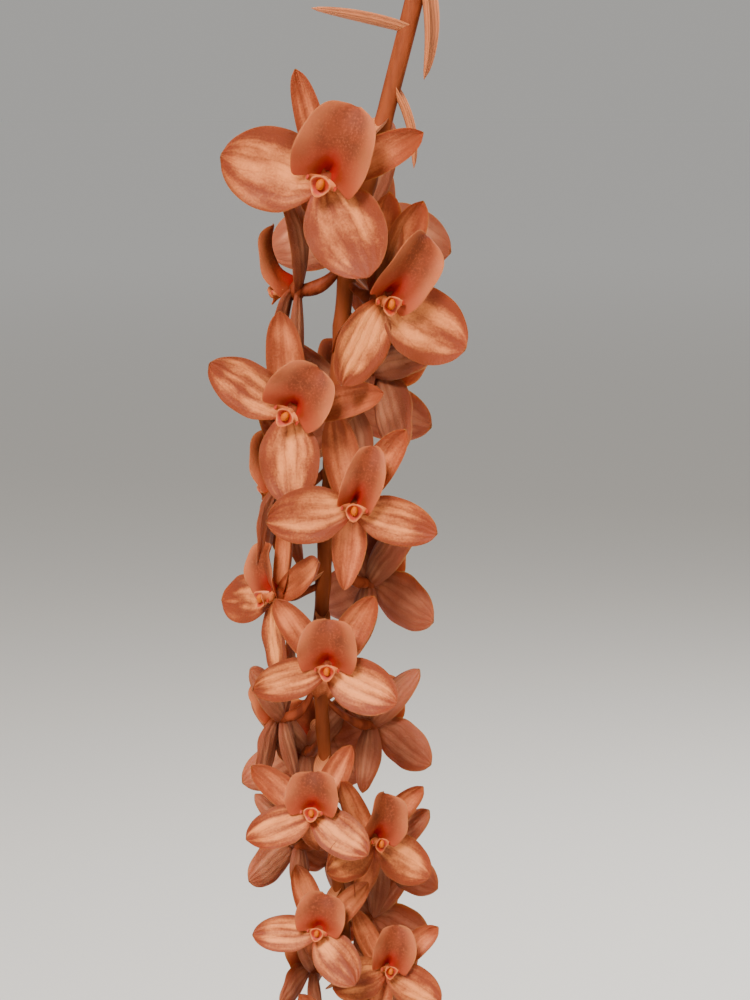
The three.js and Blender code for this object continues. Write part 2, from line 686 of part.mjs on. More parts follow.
// A pseudobulb: a ribbed, tapering body with the ragged old sheath round its foot
function bulb(spec, i) {
  const { foot, axis } = bulbLine(spec);
  const [across, over] = squareTo(axis, point(1, 0, 0));
  const at = (t) => foot.clone().addScaledVector(axis, spec.height * t);
  const ring = (t, share) =>
    ringAt(at(t), across, over, BULB.sides, (a) => spec.radius * share * (1 + BULB.ribs * Math.cos(4 * a + i)));
  const body = loft(BULB.outline.map(([t, share]) => ring(t, share)));
  const torn = ring(SHEATH.top, SHEATH.girth).map((p, n) => {
    const tear = (n % 2 ? -0.5 : 0.5) * SHEATH.tear + 0.1 * wobble(i, n);
    return p.addScaledVector(axis, spec.height * tear);
  });
  const sheath = loft([
    ring(SHEATH.foot, 0.6 * SHEATH.girth),
    ring(SHEATH.widest, SHEATH.girth),
    torn,
    ring(SHEATH.top - SHEATH.tear / 2, 0.65 * SHEATH.girth),
  ]);
  return { made: fuse([solid(body), solid(sheath)]), apex: at(1), axis };
}

// A strap leaf on a channelled stalk: its middle line rises, arches over and sinks.
function leaf(foot, spec, grow) {
  const turn = spec.turn * TURN;
  const outward = point(Math.cos(turn), Math.sin(turn), 0);
  const side = point(-Math.sin(turn), Math.cos(turn), 0);
  const middle = foot.clone();
  const rings = [];
  for (let k = 0; k <= LEAF.steps; k++) {
    const t = k / LEAF.steps;
    const angle = (spec.rise - spec.sag * t ** 1.7) * TURN;
    const tangent = outward.clone().multiplyScalar(Math.cos(angle)).add(point(0, 0, Math.sin(angle)));
    if (k) middle.addScaledVector(tangent, spec.length / LEAF.steps);
    if (k === LEAF.steps) {
      rings.push([middle.clone()]);
      break;
    }
    const top = new THREE.Vector3().crossVectors(tangent, side);
    const bladeShare = Math.max(0, (t - LEAF.petiole) / (1 - LEAF.petiole));
    const swell = Math.sin(Math.PI * bladeShare ** 0.8) ** 0.72;
    const half = Math.max(LEAF.petioleWidth, spec.width * swell) / 2 + grow;
    const open = THREE.MathUtils.smoothstep(bladeShare, 0, 0.25);
    const deep = THREE.MathUtils.lerp(LEAF.petioleThick, LEAF.thick, open) / 2 + grow;
    const fold = THREE.MathUtils.lerp(LEAF.petioleFold, LEAF.fold, open);
    const corner = (share, over) =>
      middle
        .clone()
        .addScaledVector(side, share * half)
        .addScaledVector(top, fold * Math.abs(share) * half + over * deep);
    rings.push([
      corner(-1, 0),
      corner(-0.5, 0.8),
      corner(0, 0.8),
      corner(0.5, 0.8),
      corner(1, 0),
      corner(0.5, -0.8),
      corner(0, -1.2),
      corner(-0.5, -0.8),
    ]);
  }
  return solid(loft(rings));
}

// The plain hole that a pseudobulb stands in
function bulbHole(spec) {
  const { foot, axis } = bulbLine(spec);
  const along = (length) => foot.clone().addScaledVector(axis, length);
  const line = new THREE.LineCurve3(along(-1.2), along(16));
  return rod(line, () => spec.radius * SHEATH.girth + 2.2 * CLEAR, BULB.sides, 1);
}

// The rhizome in the bark's surface, with a short branch to each pseudobulb that stands off it, and its roots
function rhizome(grow) {
  const inBark = ([x, y]) => point(x, y, RHIZOME.height);
  const curve = new THREE.CatmullRomCurve3(RHIZOME.line.map(inBark));
  const upwards = point(0, 0, 1);
  const parts = [rod(curve, () => RHIZOME.radius, RHIZOME.sides, RHIZOME.steps, grow, upwards)];
  const stops = Array.from({ length: 41 }, (_, i) => curve.getPoint(i / 40));
  for (const { at } of BULBS) {
    const foot = inBark(at);
    const from = stops.reduce((a, b) => (b.distanceTo(foot) < a.distanceTo(foot) ? b : a));
    if (from.distanceTo(foot) < RHIZOME.radius) continue;
    parts.push(rod(new THREE.LineCurve3(from, foot), () => RHIZOME.branch, RHIZOME.sides, 1, grow, upwards));
  }
  for (let i = 0; i < ROOTS.count; i++) {
    const root = curve.getPoint((i + 0.5) / ROOTS.count);
    const angle = GOLDEN_ANGLE * i;
    const away = point(Math.cos(angle), Math.sin(angle), 0).multiplyScalar(ROOTS.spread);
    const bend = root.clone().addScaledVector(away, 0.7).add(point(0, 0, -0.2 * ROOTS.depth));
    const end = root.clone().add(away).add(point(0, 0, -ROOTS.depth));
    const line = new THREE.QuadraticBezierCurve3(root, bend, end);
    parts.push(rod(line, (t) => ROOTS.radius * (1 - 0.4 * t), ROOTS.sides, ROOTS.steps, grow));
  }
  return fuse(parts);
}

// The new shoot: sheaths wrapped one inside another, each ending in a point
function newShoot() {
  const foot = point(...SHOOT.foot, RHIZOME.height);
  const ring = (t, radius) =>
    ringAt(
      foot.clone().add(point(0, 0, SHOOT.height * t)),
      point(1, 0, 0),
      point(0, 1, 0),
      SHOOT.sides,
      () => radius,
    );
  const sheath = ({ low, high, radius, pointed }) => {
    const mouth = ring(high, 0.96 * radius).map((p, n) => {
      const rise = 0.5 + 0.5 * Math.cos((2 * Math.PI * n) / SHOOT.sides - pointed);
      return p.add(point(0, 0, SHOOT.height * SHOOT.tip * rise ** 2));
    });
    const rings = [ring(low, 0.86 * radius), ring(low + 0.1, radius), mouth, ring(high - 0.05, 0.7 * radius)];
    return solid(loft(rings));
  };
  return fuse(SHOOT.sheaths.map(sheath));
}

// Putting it together

const blooms = allBlooms();
const stemSolid = flowerStem(blooms, 0);
const thickStem = flowerStem(blooms, CLEAR);

const bulbs = BULBS.map((spec, i) => bulb(spec, i));
const leaves = BULBS.map((spec, i) => {
  const foot = bulbs[i].apex.clone().addScaledVector(bulbs[i].axis, CLEAR);
  return leaf(foot, { ...spec, turn: spec.leafTurn, length: spec.leafLength, width: LEAF.width }, 0);
});
const youngLeaf = leaf(point(...YOUNG_LEAF.foot), YOUNG_LEAF, 0).subtract(thickStem);
const thickYoungLeaf = leaf(point(...YOUNG_LEAF.foot), YOUNG_LEAF, CLEAR);

const thickRhizome = rhizome(CLEAR);
const shootSolid = biggest(newShoot().subtract(thickStem).subtract(thickYoungLeaf).subtract(thickRhizome));
const shootFoot = point(...SHOOT.foot, RHIZOME.height - 1);
const shootLine = new THREE.LineCurve3(shootFoot, shootFoot.clone().setZ(BARK.top + 14));
const shootHole = rod(shootLine, () => SHOOT.holeRadius, SHOOT.sides, 1);
const holes = fuse([thickRhizome, ...BULBS.map(bulbHole), shootHole]);
const { pot, inner } = claypot();

const plant = new THREE.Group();
plant.add(mesh("pot", pot, CLAY));
plant.add(mesh("bark", barkFill(inner, holes), BARK_BROWN));
plant.add(mesh("rhizome_and_roots", biggest(rhizome(0).subtract(thickStem)), ROOT_BUFF));
bulbs.forEach(({ made }, i) => {
  plant.add(mesh(`pseudobulb_${i + 1}`, biggest(made.subtract(thickRhizome)), BULB_GREEN));
  plant.add(mesh(`leaf_${i + 1}`, leaves[i], LEAF_GREEN));
});
plant.add(mesh("new_shoot", shootSolid, SHOOT_GREEN));
plant.add(mesh("young_leaf", biggest(youngLeaf), LEAF_GREEN));
plant.add(mesh("flower_stem", stemSolid, STEM_BROWN));
bloomSolids(blooms, thickStem).forEach((made, i) => {
  plant.add(mesh(`flower_${String(i + 1).padStart(2, "0")}`, made, SALMON));
});

export default plant;
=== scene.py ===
# The looks of a potted Dendrochilum orchid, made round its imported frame.
# Lengths in the dictionaries are in millimetres and angles in degrees. The viewer stands on the -Y side.
import math

import bmesh
import bpy
import numpy as np
from mathutils import Matrix


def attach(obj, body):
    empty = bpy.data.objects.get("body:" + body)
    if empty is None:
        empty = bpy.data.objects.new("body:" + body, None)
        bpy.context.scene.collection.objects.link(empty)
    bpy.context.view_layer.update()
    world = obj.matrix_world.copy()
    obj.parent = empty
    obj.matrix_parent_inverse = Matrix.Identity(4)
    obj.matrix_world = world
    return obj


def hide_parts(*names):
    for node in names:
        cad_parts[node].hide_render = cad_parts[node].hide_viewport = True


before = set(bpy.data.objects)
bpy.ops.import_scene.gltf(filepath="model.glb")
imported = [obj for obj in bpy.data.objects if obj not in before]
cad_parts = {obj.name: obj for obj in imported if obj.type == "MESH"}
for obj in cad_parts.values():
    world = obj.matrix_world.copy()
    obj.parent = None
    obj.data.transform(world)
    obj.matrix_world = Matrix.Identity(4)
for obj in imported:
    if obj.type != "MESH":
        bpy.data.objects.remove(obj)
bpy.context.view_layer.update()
print("frame loaded:", len(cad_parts), "nodes")

metre = 1000.0  # millimetres in a metre
upwards = np.array([0.0, 0.0, 1.0])
rightwards = np.array([1.0, 0.0, 0.0])
rearwards = np.array([0.0, 1.0, 0.0])


# Small tools

# A repeatable number from -0.5 to 0.5 for a piece and a use of it. Its constants need only be uneven.
def wobble(piece, use):
    spread = math.sin(piece * 12.9898 + use * 78.233) * 43758.5453
    return spread - math.floor(spread) - 0.5


def unit(vector):
    return vector / np.linalg.norm(vector)


def mix(low, high, share):
    return low + (high - low) * share


def smooth(low, high, value):
    share = np.clip((value - low) / (high - low), 0, 1)
    return share * share * (3 - 2 * share)


# Two directions square to an axis. The first lies as near as it can to the hint.
def squareTo(axis, hint):
    across = unit(hint - axis * np.dot(hint, axis))
    return across, np.cross(axis, across)


# The level direction at a turn round the plant, counted from the viewer's side
def outwards(turn):
    return np.array([math.sin(math.radians(turn)), -math.cos(math.radians(turn)), 0.0])


def roundAngles(sides):
    return np.arange(sides) * 2 * math.pi / sides


# The directions at the angles round an axis, from two that are square to it
def ringOf(angles, across, over):
    return np.cos(angles)[:, None] * across + np.sin(angles)[:, None] * over


# A point on the bow from a start to an end that leans towards a middle
def bowPoint(start, middle, end, t):
    return (1 - t) ** 2 * start + 2 * t * (1 - t) * middle + t * t * end


# A point on the smooth curve through the points, at a share of the way
def splinePoint(points, share):
    place = min(max(share, 0.0), 1.0) * (len(points) - 1)
    first = min(int(place), len(points) - 2)
    t = place - first
    start, end = points[first], points[first + 1]
    before = points[first - 1] if first else 2 * start - end
    after = points[first + 2] if first + 2 < len(points) else 2 * end - start
    leave, arrive = (end - before) / 2, (after - start) / 2
    square, cube = t * t, t * t * t
    return (
        (2 * cube - 3 * square + 1) * start
        + (cube - 2 * square + t) * leave
        + (3 * square - 2 * cube) * end
        + (cube - square) * arrive
    )


# Mesh tools. A skin collects the points, faces, finishes and places on the surface of one piece.

def newSkin():
    return {"points": [], "faces": [], "finishes": [], "marks": []}


def addPoints(skin, points, marks):
    start = len(skin["points"])
    skin["points"].extend(points.reshape(-1, 3))
    skin["marks"].extend(marks.reshape(-1, 2))
    return np.arange(start, len(skin["points"])).reshape(points.shape[:-1])


# Places on a surface, from their values across it and along it
def placeMarks(across, along):
    return np.stack(np.broadcast_arrays(across[None], along[:, None]), -1)


def addFace(skin, corners, finish):
    kept = [c for n, c in enumerate(corners) if c != corners[n - 1]]
    if len(kept) > 2:
        skin["faces"].append(kept)
        skin["finishes"].append(finish)


# Faces between the rows and columns of a grid of point numbers. They look along column step times row step.
def addGrid(skin, grid, finish, flip=False):
    for low, high in zip(grid[:-1], grid[1:]):
        for n in range(len(low) - 1):
            corners = [low[n], low[n + 1], high[n + 1], high[n]]
            addFace(skin, corners[::-1] if flip else corners, finish)


# A closed blade of two sheets that share their sides and their tip. Its rear can have a finish of its own.
def addBlade(skin, front, back, marks, finish, rearFinish=None):
    face = addPoints(skin, front, marks)
    rear = face.copy()
    inner = addPoints(skin, back[:-1, 1:-1], marks[:-1, 1:-1])
    rear[:-1, 1:-1] = inner
    addGrid(skin, face, finish)
    addGrid(skin, rear, finish if rearFinish is None else rearFinish, flip=True)
    for n in range(face.shape[1] - 1):
        addFace(skin, [rear[0, n], rear[0, n + 1], face[0, n + 1], face[0, n]], finish)


# The middle of a blade's thickness: spread to both sides of its middle line, and lifted off it
def bladeSurface(middle, half, s, sideways, lift, normal):
    spread = (half[:, None] * s)[..., None] * sideways
    return middle[:, None, :] + spread + lift[..., None] * normal[:, None, :]


# A closed body from rings of points, first to last, with both its ends shut
def addRings(skin, rings, marks, finish):
    grid = addPoints(skin, np.array(rings), marks)
    addGrid(skin, np.hstack([grid, grid[:, :1]]), finish)
    addFace(skin, list(grid[0][::-1]), finish)
    addFace(skin, list(grid[-1]), finish)


# A closed tube along the centres. shape gives the radius at a ring's share of the way and at the angles.
def addTube(skin, centres, shape, sides, finish, hint):
    centres = np.array(centres)
    angles = roundAngles(sides)
    rings = []
    for n, centre in enumerate(centres):
        ahead = centres[min(n + 1, len(centres) - 1)] - centres[max(n - 1, 0)]
        radius = shape(n / (len(centres) - 1), angles)[:, None]
        rings.append(centre + radius * ringOf(angles, *squareTo(unit(ahead), hint)))
    addRings(skin, rings, placeMarks(np.arange(sides) / sides, np.linspace(0, 1, len(centres))), finish)


# A closed round body: rings of points from a first tip to a last one. sizes are its three half lengths.
def addEgg(skin, centre, axes, sizes, finish, count=7, sides=10):
    rings = []
    for k in range(count):
        tilt = math.pi * (k + 0.5) / count
        flat = ringOf(roundAngles(sides), axes[0] * sizes[0], axes[1] * sizes[1])
        rings.append(centre + math.sin(tilt) * flat - axes[2] * sizes[2] * math.cos(tilt))
    addRings(skin, rings, np.full((count, sides, 2), 0.5), finish)


# An object in the scene, from its mesh, camera or lamp
def addObject(name, data):
    thing = bpy.data.objects.new(name, data)
    bpy.context.scene.collection.objects.link(thing)
    return thing


# Turns a skin into an object. Its place stays in its mesh, and edges sharper than the angle stay sharp.
def makePiece(name, skin, finishes, replaced=(), sharpest=55):
    mesh = bpy.data.meshes.new(name)
    mesh.from_pydata([tuple(p / metre) for p in skin["points"]], [], skin["faces"])
    marks = mesh.uv_layers.new(name="surface")
    corners = np.zeros(len(mesh.loops), dtype=np.int32)
    mesh.loops.foreach_get("vertex_index", corners)
    marks.data.foreach_set("uv", np.array(skin["marks"])[corners].astype(np.float32).ravel())
    for finish in finishes:
        mesh.materials.append(finish)
    mesh.polygons.foreach_set("material_index", np.array(skin["finishes"], dtype=np.int32))
    mesh.validate()
    return finishPiece(addObject(name, mesh), replaced, sharpest)


def finishPiece(piece, replaced=(), sharpest=55):
    mesh = piece.data
    shaped = bmesh.new()
    shaped.from_mesh(mesh)
    bmesh.ops.recalc_face_normals(shaped, faces=shaped.faces)
    shaped.to_mesh(mesh)
    shaped.free()
    mesh.shade_smooth()
    mesh.set_sharp_from_angle(angle=math.radians(sharpest))
    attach(piece, "root")
    if replaced:
        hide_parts(*replaced)
    return piece


# Node tools

# Adds a node with its settings. Each input is a value, or the node or socket that is linked to it.
def addNode(tree, kind, inputs=None, **settings):
    node = tree.nodes.new(kind)
    for name, value in settings.items():
        setattr(node, name, value)
    for key, value in (inputs or {}).items():
        named = [s for s in node.inputs if s.name == key and s.enabled]
        socket = named[0] if named else node.inputs[key]
        if isinstance(value, bpy.types.Node):
            value = [s for s in value.outputs if s.enabled][0]
        if isinstance(value, bpy.types.NodeSocket):
            tree.links.new(value, socket)
        else:
            socket.default_value = value
    return node


# A geometry tree with named inputs, each given with its kind
def newTree(name, kinds):
    tree = bpy.data.node_groups.new(name, "GeometryNodeTree")
    for label, kind in {"Geometry": "Geometry", **kinds}.items():
        tree.interface.new_socket(label, in_out="INPUT", socket_type="NodeSocket" + kind)
    tree.interface.new_socket("Geometry", in_out="OUTPUT", socket_type="NodeSocketGeometry")
    return tree, addNode(tree, "NodeGroupInput").outputs


# Ends a tree: what it made becomes plain mesh with its finish.
def endTree(tree, made, finish):
    plain = addNode(tree, "GeometryNodeRealizeInstances", {"Geometry": made})
    coated = addNode(tree, "GeometryNodeSetMaterial", {"Geometry": plain, "Material": finish})
    addNode(tree, "NodeGroupOutput", {"Geometry": coated})


# A mesh of bare points, lines or faces for a tree to start from, with a value for each point
def newSource(name, points, edges, faces, values):
    mesh = bpy.data.meshes.new(name)
    mesh.from_pydata([tuple(p / metre) for p in points], edges, faces)
    for label, (kind, numbers) in values.items():
        field = "vector" if kind == "FLOAT_VECTOR" else "value"
        attribute = mesh.attributes.new(label, kind, "POINT")
        attribute.data.foreach_set(field, np.array(numbers, dtype=float).ravel())
    return addObject(name, mesh)


# Runs a tree on an object and keeps the result as a plain mesh
def grow(name, source, tree, inputs):
    modifier = source.modifiers.new("grow", "NODES")
    modifier.node_group = tree
    for item in tree.interface.items_tree:
        if item.item_type == "SOCKET" and item.in_out == "INPUT" and item.name in inputs:
            modifier[item.identifier] = inputs[item.name]
    bpy.context.view_layer.update()
    graph = bpy.context.evaluated_depsgraph_get()
    mesh = bpy.data.meshes.new_from_object(source.evaluated_get(graph), depsgraph=graph)
    mesh.name = name
    bpy.data.objects.remove(source)
    return addObject(name, mesh)


def colour(hexText):
    channels = [int(hexText[n:n + 2], 16) / 255 for n in (1, 3, 5)]
    linear = [c / 12.92 if c <= 0.04045 else ((c + 0.055) / 1.055) ** 2.4 for c in channels]
    return (*linear, 1.0)


# A new finish and its shader. Values that are the same all over are set on the shader itself.
def newFinish(name, **settings):
    material = bpy.data.materials.new(name)
    material.use_nodes = True
    tree = material.node_tree
    tree.nodes.clear()
    shader = addNode(tree, "ShaderNodeBsdfPrincipled")
    for label, value in settings.items():
        shader.inputs[label.replace("_", " ")].default_value = value
    addNode(tree, "ShaderNodeOutputMaterial", {"Surface": shader})
    return material, tree, shader


# Colour and relief for a shader. depth is how far the relief stands out, in millimetres.
def dress(tree, shader, tint, relief, depth, strength):
    heights = {"Height": relief, "Distance": depth / metre, "Strength": strength}
    bump = addNode(tree, "ShaderNodeBump", heights)
    tree.links.new([s for s in tint.outputs if s.enabled][0], shader.inputs["Base Color"])
    tree.links.new(bump.outputs["Normal"], shader.inputs["Normal"])


# Lays one colour over another where a value goes from low to high.
def layer(tree, under, over, value, low, high, most=1.0):
    span = {"Value": value, "From Min": low, "From Max": high, "To Max": most}
    mask = addNode(tree, "ShaderNodeMapRange", span, interpolation_type="SMOOTHSTEP")
    return addNode(tree, "ShaderNodeMix", {"Factor": mask, "A": under, "B": over}, data_type="RGBA")


# An uneven pattern on the piece's own coordinates. grain is the size of its blotches in millimetres.
def mottle(tree, grain, detail=3.0, stretch=(1, 1, 1)):
    place = addNode(tree, "ShaderNodeTexCoord").outputs["Object"]
    scaled = addNode(tree, "ShaderNodeMapping", {"Vector": place, "Scale": stretch})
    return addNode(tree, "ShaderNodeTexNoise", {"Vector": scaled, "Scale": metre / grain, "Detail": detail})


# The place on a blade: 0 to 1 from root to tip, -1 to 1 from side to side, and 0 to 1 from its middle out
def bladePlace(tree):
    marks = addNode(tree, "ShaderNodeUVMap", uv_map="surface")
    parts = addNode(tree, "ShaderNodeSeparateXYZ", {"Vector": marks})
    across = {0: parts.outputs["X"], 1: 2.0, 2: -1.0}
    side = addNode(tree, "ShaderNodeMath", across, operation="MULTIPLY_ADD")
    return parts.outputs["Y"], side, addNode(tree, "ShaderNodeMath", {0: side}, operation="ABSOLUTE")


# Fine streaks that run to a blade's tip, so many across and along it, with another pattern on each blade
def silkyStreaks(tree, across, lengthwise, drift):
    place = addNode(tree, "ShaderNodeTexCoord").outputs["Object"]
    marks = addNode(tree, "ShaderNodeUVMap", uv_map="surface")
    stretched = addNode(tree, "ShaderNodeMapping", {"Vector": marks, "Scale": (across, lengthwise, 0)})
    shift = addNode(tree, "ShaderNodeVectorMath", {0: place, "Scale": metre / drift}, operation="SCALE")
    vector = addNode(tree, "ShaderNodeVectorMath", {0: stretched, 1: shift}, operation="ADD")
    return addNode(tree, "ShaderNodeTexNoise", {"Vector": vector, "Scale": 1.0, "Detail": 5.0})


# Lines that run to a blade's tip: 0 on a vein and 0.5 between two, bent a little by a mottle
def veinLines(tree, side, count, grain, bend):
    bends = {0: mottle(tree, grain), 1: bend, 2: side}
    wander = addNode(tree, "ShaderNodeMath", bends, operation="MULTIPLY_ADD")
    spread = addNode(tree, "ShaderNodeMath", {0: wander, 1: count}, operation="MULTIPLY")
    return addNode(tree, "ShaderNodeMath", {0: spread, 1: 0.5}, operation="PINGPONG")


# Camera, light and floor

# The photograph looks straight at the hanging spray from a little above its middle.
view = {
    "middle": (-131.15, -12.5, 245.0),
    "distance": 320.0,
    "elevation": 8.0,
    "height": 110.0,  # of the picture, at the spray
    "sensor": 36.0,
    "clip": (10.0, 100000.0),
}


def makeCamera():
    tilt = math.radians(view["elevation"])
    back = np.array([0.0, -math.cos(tilt), math.sin(tilt)])
    camera = addObject("camera", bpy.data.cameras.new("camera"))
    camera.location = (np.array(view["middle"]) + view["distance"] * back) / metre
    camera.rotation_euler = (math.pi / 2 - tilt, 0.0, 0.0)
    camera.data.sensor_width = view["sensor"]
    camera.data.lens = view["sensor"] * view["distance"] / view["height"]
    camera.data.clip_start, camera.data.clip_end = (reach / metre for reach in view["clip"])
    bpy.context.scene.camera = camera


lamps = {
    "key": {"place": (-380, -620, 820), "aim": (-230, -260, 0), "size": 300, "power": 24.5,
            "tint": "#fff6ec"},
    "fill": {"place": (560, -820, 520), "aim": (100, -150, 0), "size": 500, "power": 4.5,
             "tint": "#fff0e0"},
    "rim": {"place": (260, 620, 700), "aim": (60, 140, 0), "size": 500, "power": 8.0, "tint": "#ffffff"},
}
sky = {"tint": "#e9e7e3", "power": 0.5}


def matrixOf(x, y, z, place):
    rows = np.eye(4)
    rows[:3, 0], rows[:3, 1], rows[:3, 2], rows[:3, 3] = x, y, z, place / metre
    return Matrix(rows.tolist())


def makeLights():
    for name, spec in lamps.items():
        lamp = bpy.data.lights.new(name, "AREA")
        lamp.size = spec["size"] / metre
        lamp.energy = spec["power"]
        lamp.color = colour(spec["tint"])[:3]
        place = np.array(spec["place"], dtype=float)
        behind = unit(place - np.array(spec["aim"]))
        sideways, over = squareTo(behind, upwards)
        addObject(name, lamp).matrix_world = matrixOf(-over, sideways, behind, place)
    world = bpy.data.worlds.new("studio")
    world.use_nodes = True
    background = world.node_tree.nodes["Background"]
    background.inputs["Color"].default_value = colour(sky["tint"])
    background.inputs["Strength"].default_value = sky["power"]
    bpy.context.scene.world = world


floor = {"radius": 30000.0, "sides": 96, "near": "#e3e0db", "far": "#ffffff", "fade": (900.0, 5000.0)}


# The floor is pale, and paler far away, so that it meets the sky without a line.
def makeFloor():
    material, tree, shader = newFinish("paleFloor", Roughness=0.9, Specular_IOR_Level=0.1)
    place = addNode(tree, "ShaderNodeTexCoord").outputs["Object"]
    distance = addNode(tree, "ShaderNodeVectorMath", {0: place}, operation="LENGTH").outputs["Value"]
    near, far = (reach / metre for reach in floor["fade"])
    tint = layer(tree, colour(floor["near"]), colour(floor["far"]), distance, near, far)
    dress(tree, shader, tint, mottle(tree, 2.0), 0.02, 0.1)
    mesh = bpy.data.meshes.new("floor")
    radius = floor["radius"] / metre
    rim = [(radius * math.cos(a), radius * math.sin(a), 0.0) for a in roundAngles(floor["sides"])]
    mesh.from_pydata(rim, [], [list(range(len(rim)))])
    mesh.materials.append(material)
    piece = addObject("floor", mesh)


makeCamera()
makeLights()
makeFloor()
print("camera, lights and floor made")


# Flower finishes

# Petals are thin and let light through. Pale stripes of cells lie between darker veins. Their glisten is
# painted into the colour: pale cell specks are painted glints, and silky streaks paint a satin sheen with
# broad light and shade.
petalLook = {
    "pale": "#cc7c46",
    "body": "#6b2f1a",
    "vein": "#582214",
    "edge": "#602c16",
    "root": "#702410",
    "veins": 2.6,  # on each half of the blade
    "wander": (2.6, 0.4),  # grain and reach of the veins' bends
    "banding": 0.8,
    "patches": (4.5, 2.6, -0.5),  # grain, contrast and offset of the pale patches
    "paleness": 1.0,
    "veining": 0.2,
    "cell": 0.24,  # cells are about 0.05 across, drawn coarser so that they show
    # the next two paint glints of the cells and a satin sheen, with broad light and shade, into the colour
    "paintedGlints": 0.7,
    "streaksAndSheen": 3.6,
    "silkLines": (4.5, 0.8),  # across and along the blade
    "silkDrift": 9.0,
    "contrast": (0.06, 1.75),
    "relief": 0.09,
}


def petalTissue(name, look):
    material, tree, shader = newFinish(
        name,
        Roughness=0.55,
        Subsurface_Weight=0.25,
        Subsurface_Scale=0.0012,
        Subsurface_Radius=(1.0, 0.36, 0.16),
        Specular_IOR_Level=0.12,
    )
    along, side, farOut = bladePlace(tree)
    lines = veinLines(tree, side, look["veins"], *look["wander"])

    # the pale bands keep off the margin and the tip, and lie in uneven patches, which partly paint broad
    # light and shade
    middle = {"Value": farOut, "From Min": 1.1, "From Max": 0.35}
    inside = addNode(tree, "ShaderNodeMapRange", middle, interpolation_type="SMOOTHSTEP")
    tipward = {"Value": along, "From Min": 1.0, "From Max": 0.7}
    belowTip = addNode(tree, "ShaderNodeMapRange", tipward, interpolation_type="SMOOTHSTEP")
    centre = addNode(tree, "ShaderNodeMath", {0: inside, 1: belowTip}, operation="MULTIPLY")
    grain, contrast, offset = look["patches"]
    patches = {0: mottle(tree, grain, 5.0), 1: contrast, 2: offset}
    uneven = addNode(tree, "ShaderNodeMath", patches, operation="MULTIPLY_ADD")
    patchy = addNode(tree, "ShaderNodeMath", {0: centre, 1: uneven}, operation="MULTIPLY")
    bands = {0: lines, 1: look["banding"], 2: 0.85}
    banded = addNode(tree, "ShaderNodeMath", bands, operation="MULTIPLY_ADD")
    stripes = addNode(tree, "ShaderNodeMath", {0: patchy, 1: banded}, operation="MULTIPLY")

    # silky streaks and pale cell specks lie over the bands: the streaks paint a satin sheen with broad light
    # and shade, and the specks paint glints
    streaksAndSheen = silkyStreaks(tree, *look["silkLines"], look["silkDrift"])
    streaks = {0: streaksAndSheen, 1: look["streaksAndSheen"], 2: stripes}
    stripesAndSheen = addNode(tree, "ShaderNodeMath", streaks, operation="MULTIPLY_ADD")
    cells = mottle(tree, look["cell"], 2.0)
    paintedGlintSpecks = {0: cells, 1: look["paintedGlints"], 2: stripesAndSheen}
    paleAndPaintedShine = addNode(tree, "ShaderNodeMath", paintedGlintSpecks, operation="MULTIPLY_ADD")
    halfway = 0.5 * (look["paintedGlints"] + look["streaksAndSheen"])
    low, high = (level + halfway for level in look["contrast"])
    body = layer(tree, colour(look["body"]), colour(look["pale"]), paleAndPaintedShine, low, high, look["paleness"])
    veined = layer(tree, body, colour(look["vein"]), lines, 0.1, 0.0, look["veining"])
    edged = layer(tree, veined, colour(look["edge"]), farOut, 0.7, 1.0, 0.6)
    rooted = layer(tree, edged, colour(look["root"]), along, 0.24, 0.0)
    ribs = addNode(tree, "ShaderNodeMath", {0: lines, 1: 1.6, 2: cells}, operation="MULTIPLY_ADD")
    relief = addNode(tree, "ShaderNodeMath", {0: streaksAndSheen, 1: 1.5, 2: ribs}, operation="MULTIPLY_ADD")
    dress(tree, shader, rooted, relief, look["relief"], 0.7)
    return material


# The lip is the same tissue, but fleshier and evenly orange, with a dark red stain next to the column.
lipLook = {
    "body": "#6a2e18",
    "dusk": "#592816",
    "pale": "#955334",
    "deep": "#7c2410",
    "stain": "#86120a",
    "cell": 0.24,
    "clouds": 1.8,
    "relief": 0.05,
}


def lipTissue(look):
    material, tree, shader = newFinish(
        "lipTissue",
        Roughness=0.62,
        Subsurface_Weight=0.22,
        Subsurface_Scale=0.0012,
        Subsurface_Radius=(1.0, 0.34, 0.16),
        Specular_IOR_Level=0.1,
    )
    along, _, farOut = bladePlace(tree)
    cells = mottle(tree, look["cell"], 2.0)
    clouds = {0: cells, 1: 0.5, 2: mottle(tree, look["clouds"], 4.0)}
    grainy = addNode(tree, "ShaderNodeMath", clouds, operation="MULTIPLY_ADD")
    cloudy = layer(tree, colour(look["dusk"]), colour(look["body"]), grainy, 0.55, 0.85)
    grained = layer(tree, cloudy, colour(look["pale"]), cells, 0.5, 0.78, 0.3)
    rimmed = layer(tree, grained, colour(look["pale"]), farOut, 0.35, 1.0, 0.9)
    throat = layer(tree, rimmed, colour(look["deep"]), along, 0.6, 0.2, 0.7)
    square = addNode(tree, "ShaderNodeMath", {0: farOut, 1: 2.0}, operation="POWER")
    reach = addNode(tree, "ShaderNodeMath", {0: square, 1: 1.1, 2: along}, operation="MULTIPLY_ADD")
    stained = layer(tree, throat, colour(look["stain"]), reach, 0.5, 0.16)
    dress(tree, shader, stained, cells, look["relief"], 0.6)
    return material


# The column is waxy and salmon, reddened inside its hood. The anther cap in it is golden. Both shine softly.
def wax(name, outer, inner, gloss):
    material, tree, shader = newFinish(
        name,
        Roughness=0.55,
        Subsurface_Weight=0.15,
        Subsurface_Scale=0.0006,
        Subsurface_Radius=(1.0, 0.4, 0.15),
        Specular_IOR_Level=gloss,
    )
    tinted = layer(tree, colour(outer), colour(inner), bladePlace(tree)[0], 0.8, 0.98)
    dress(tree, shader, tinted, mottle(tree, 0.4), 0.03, 0.3)
    return material


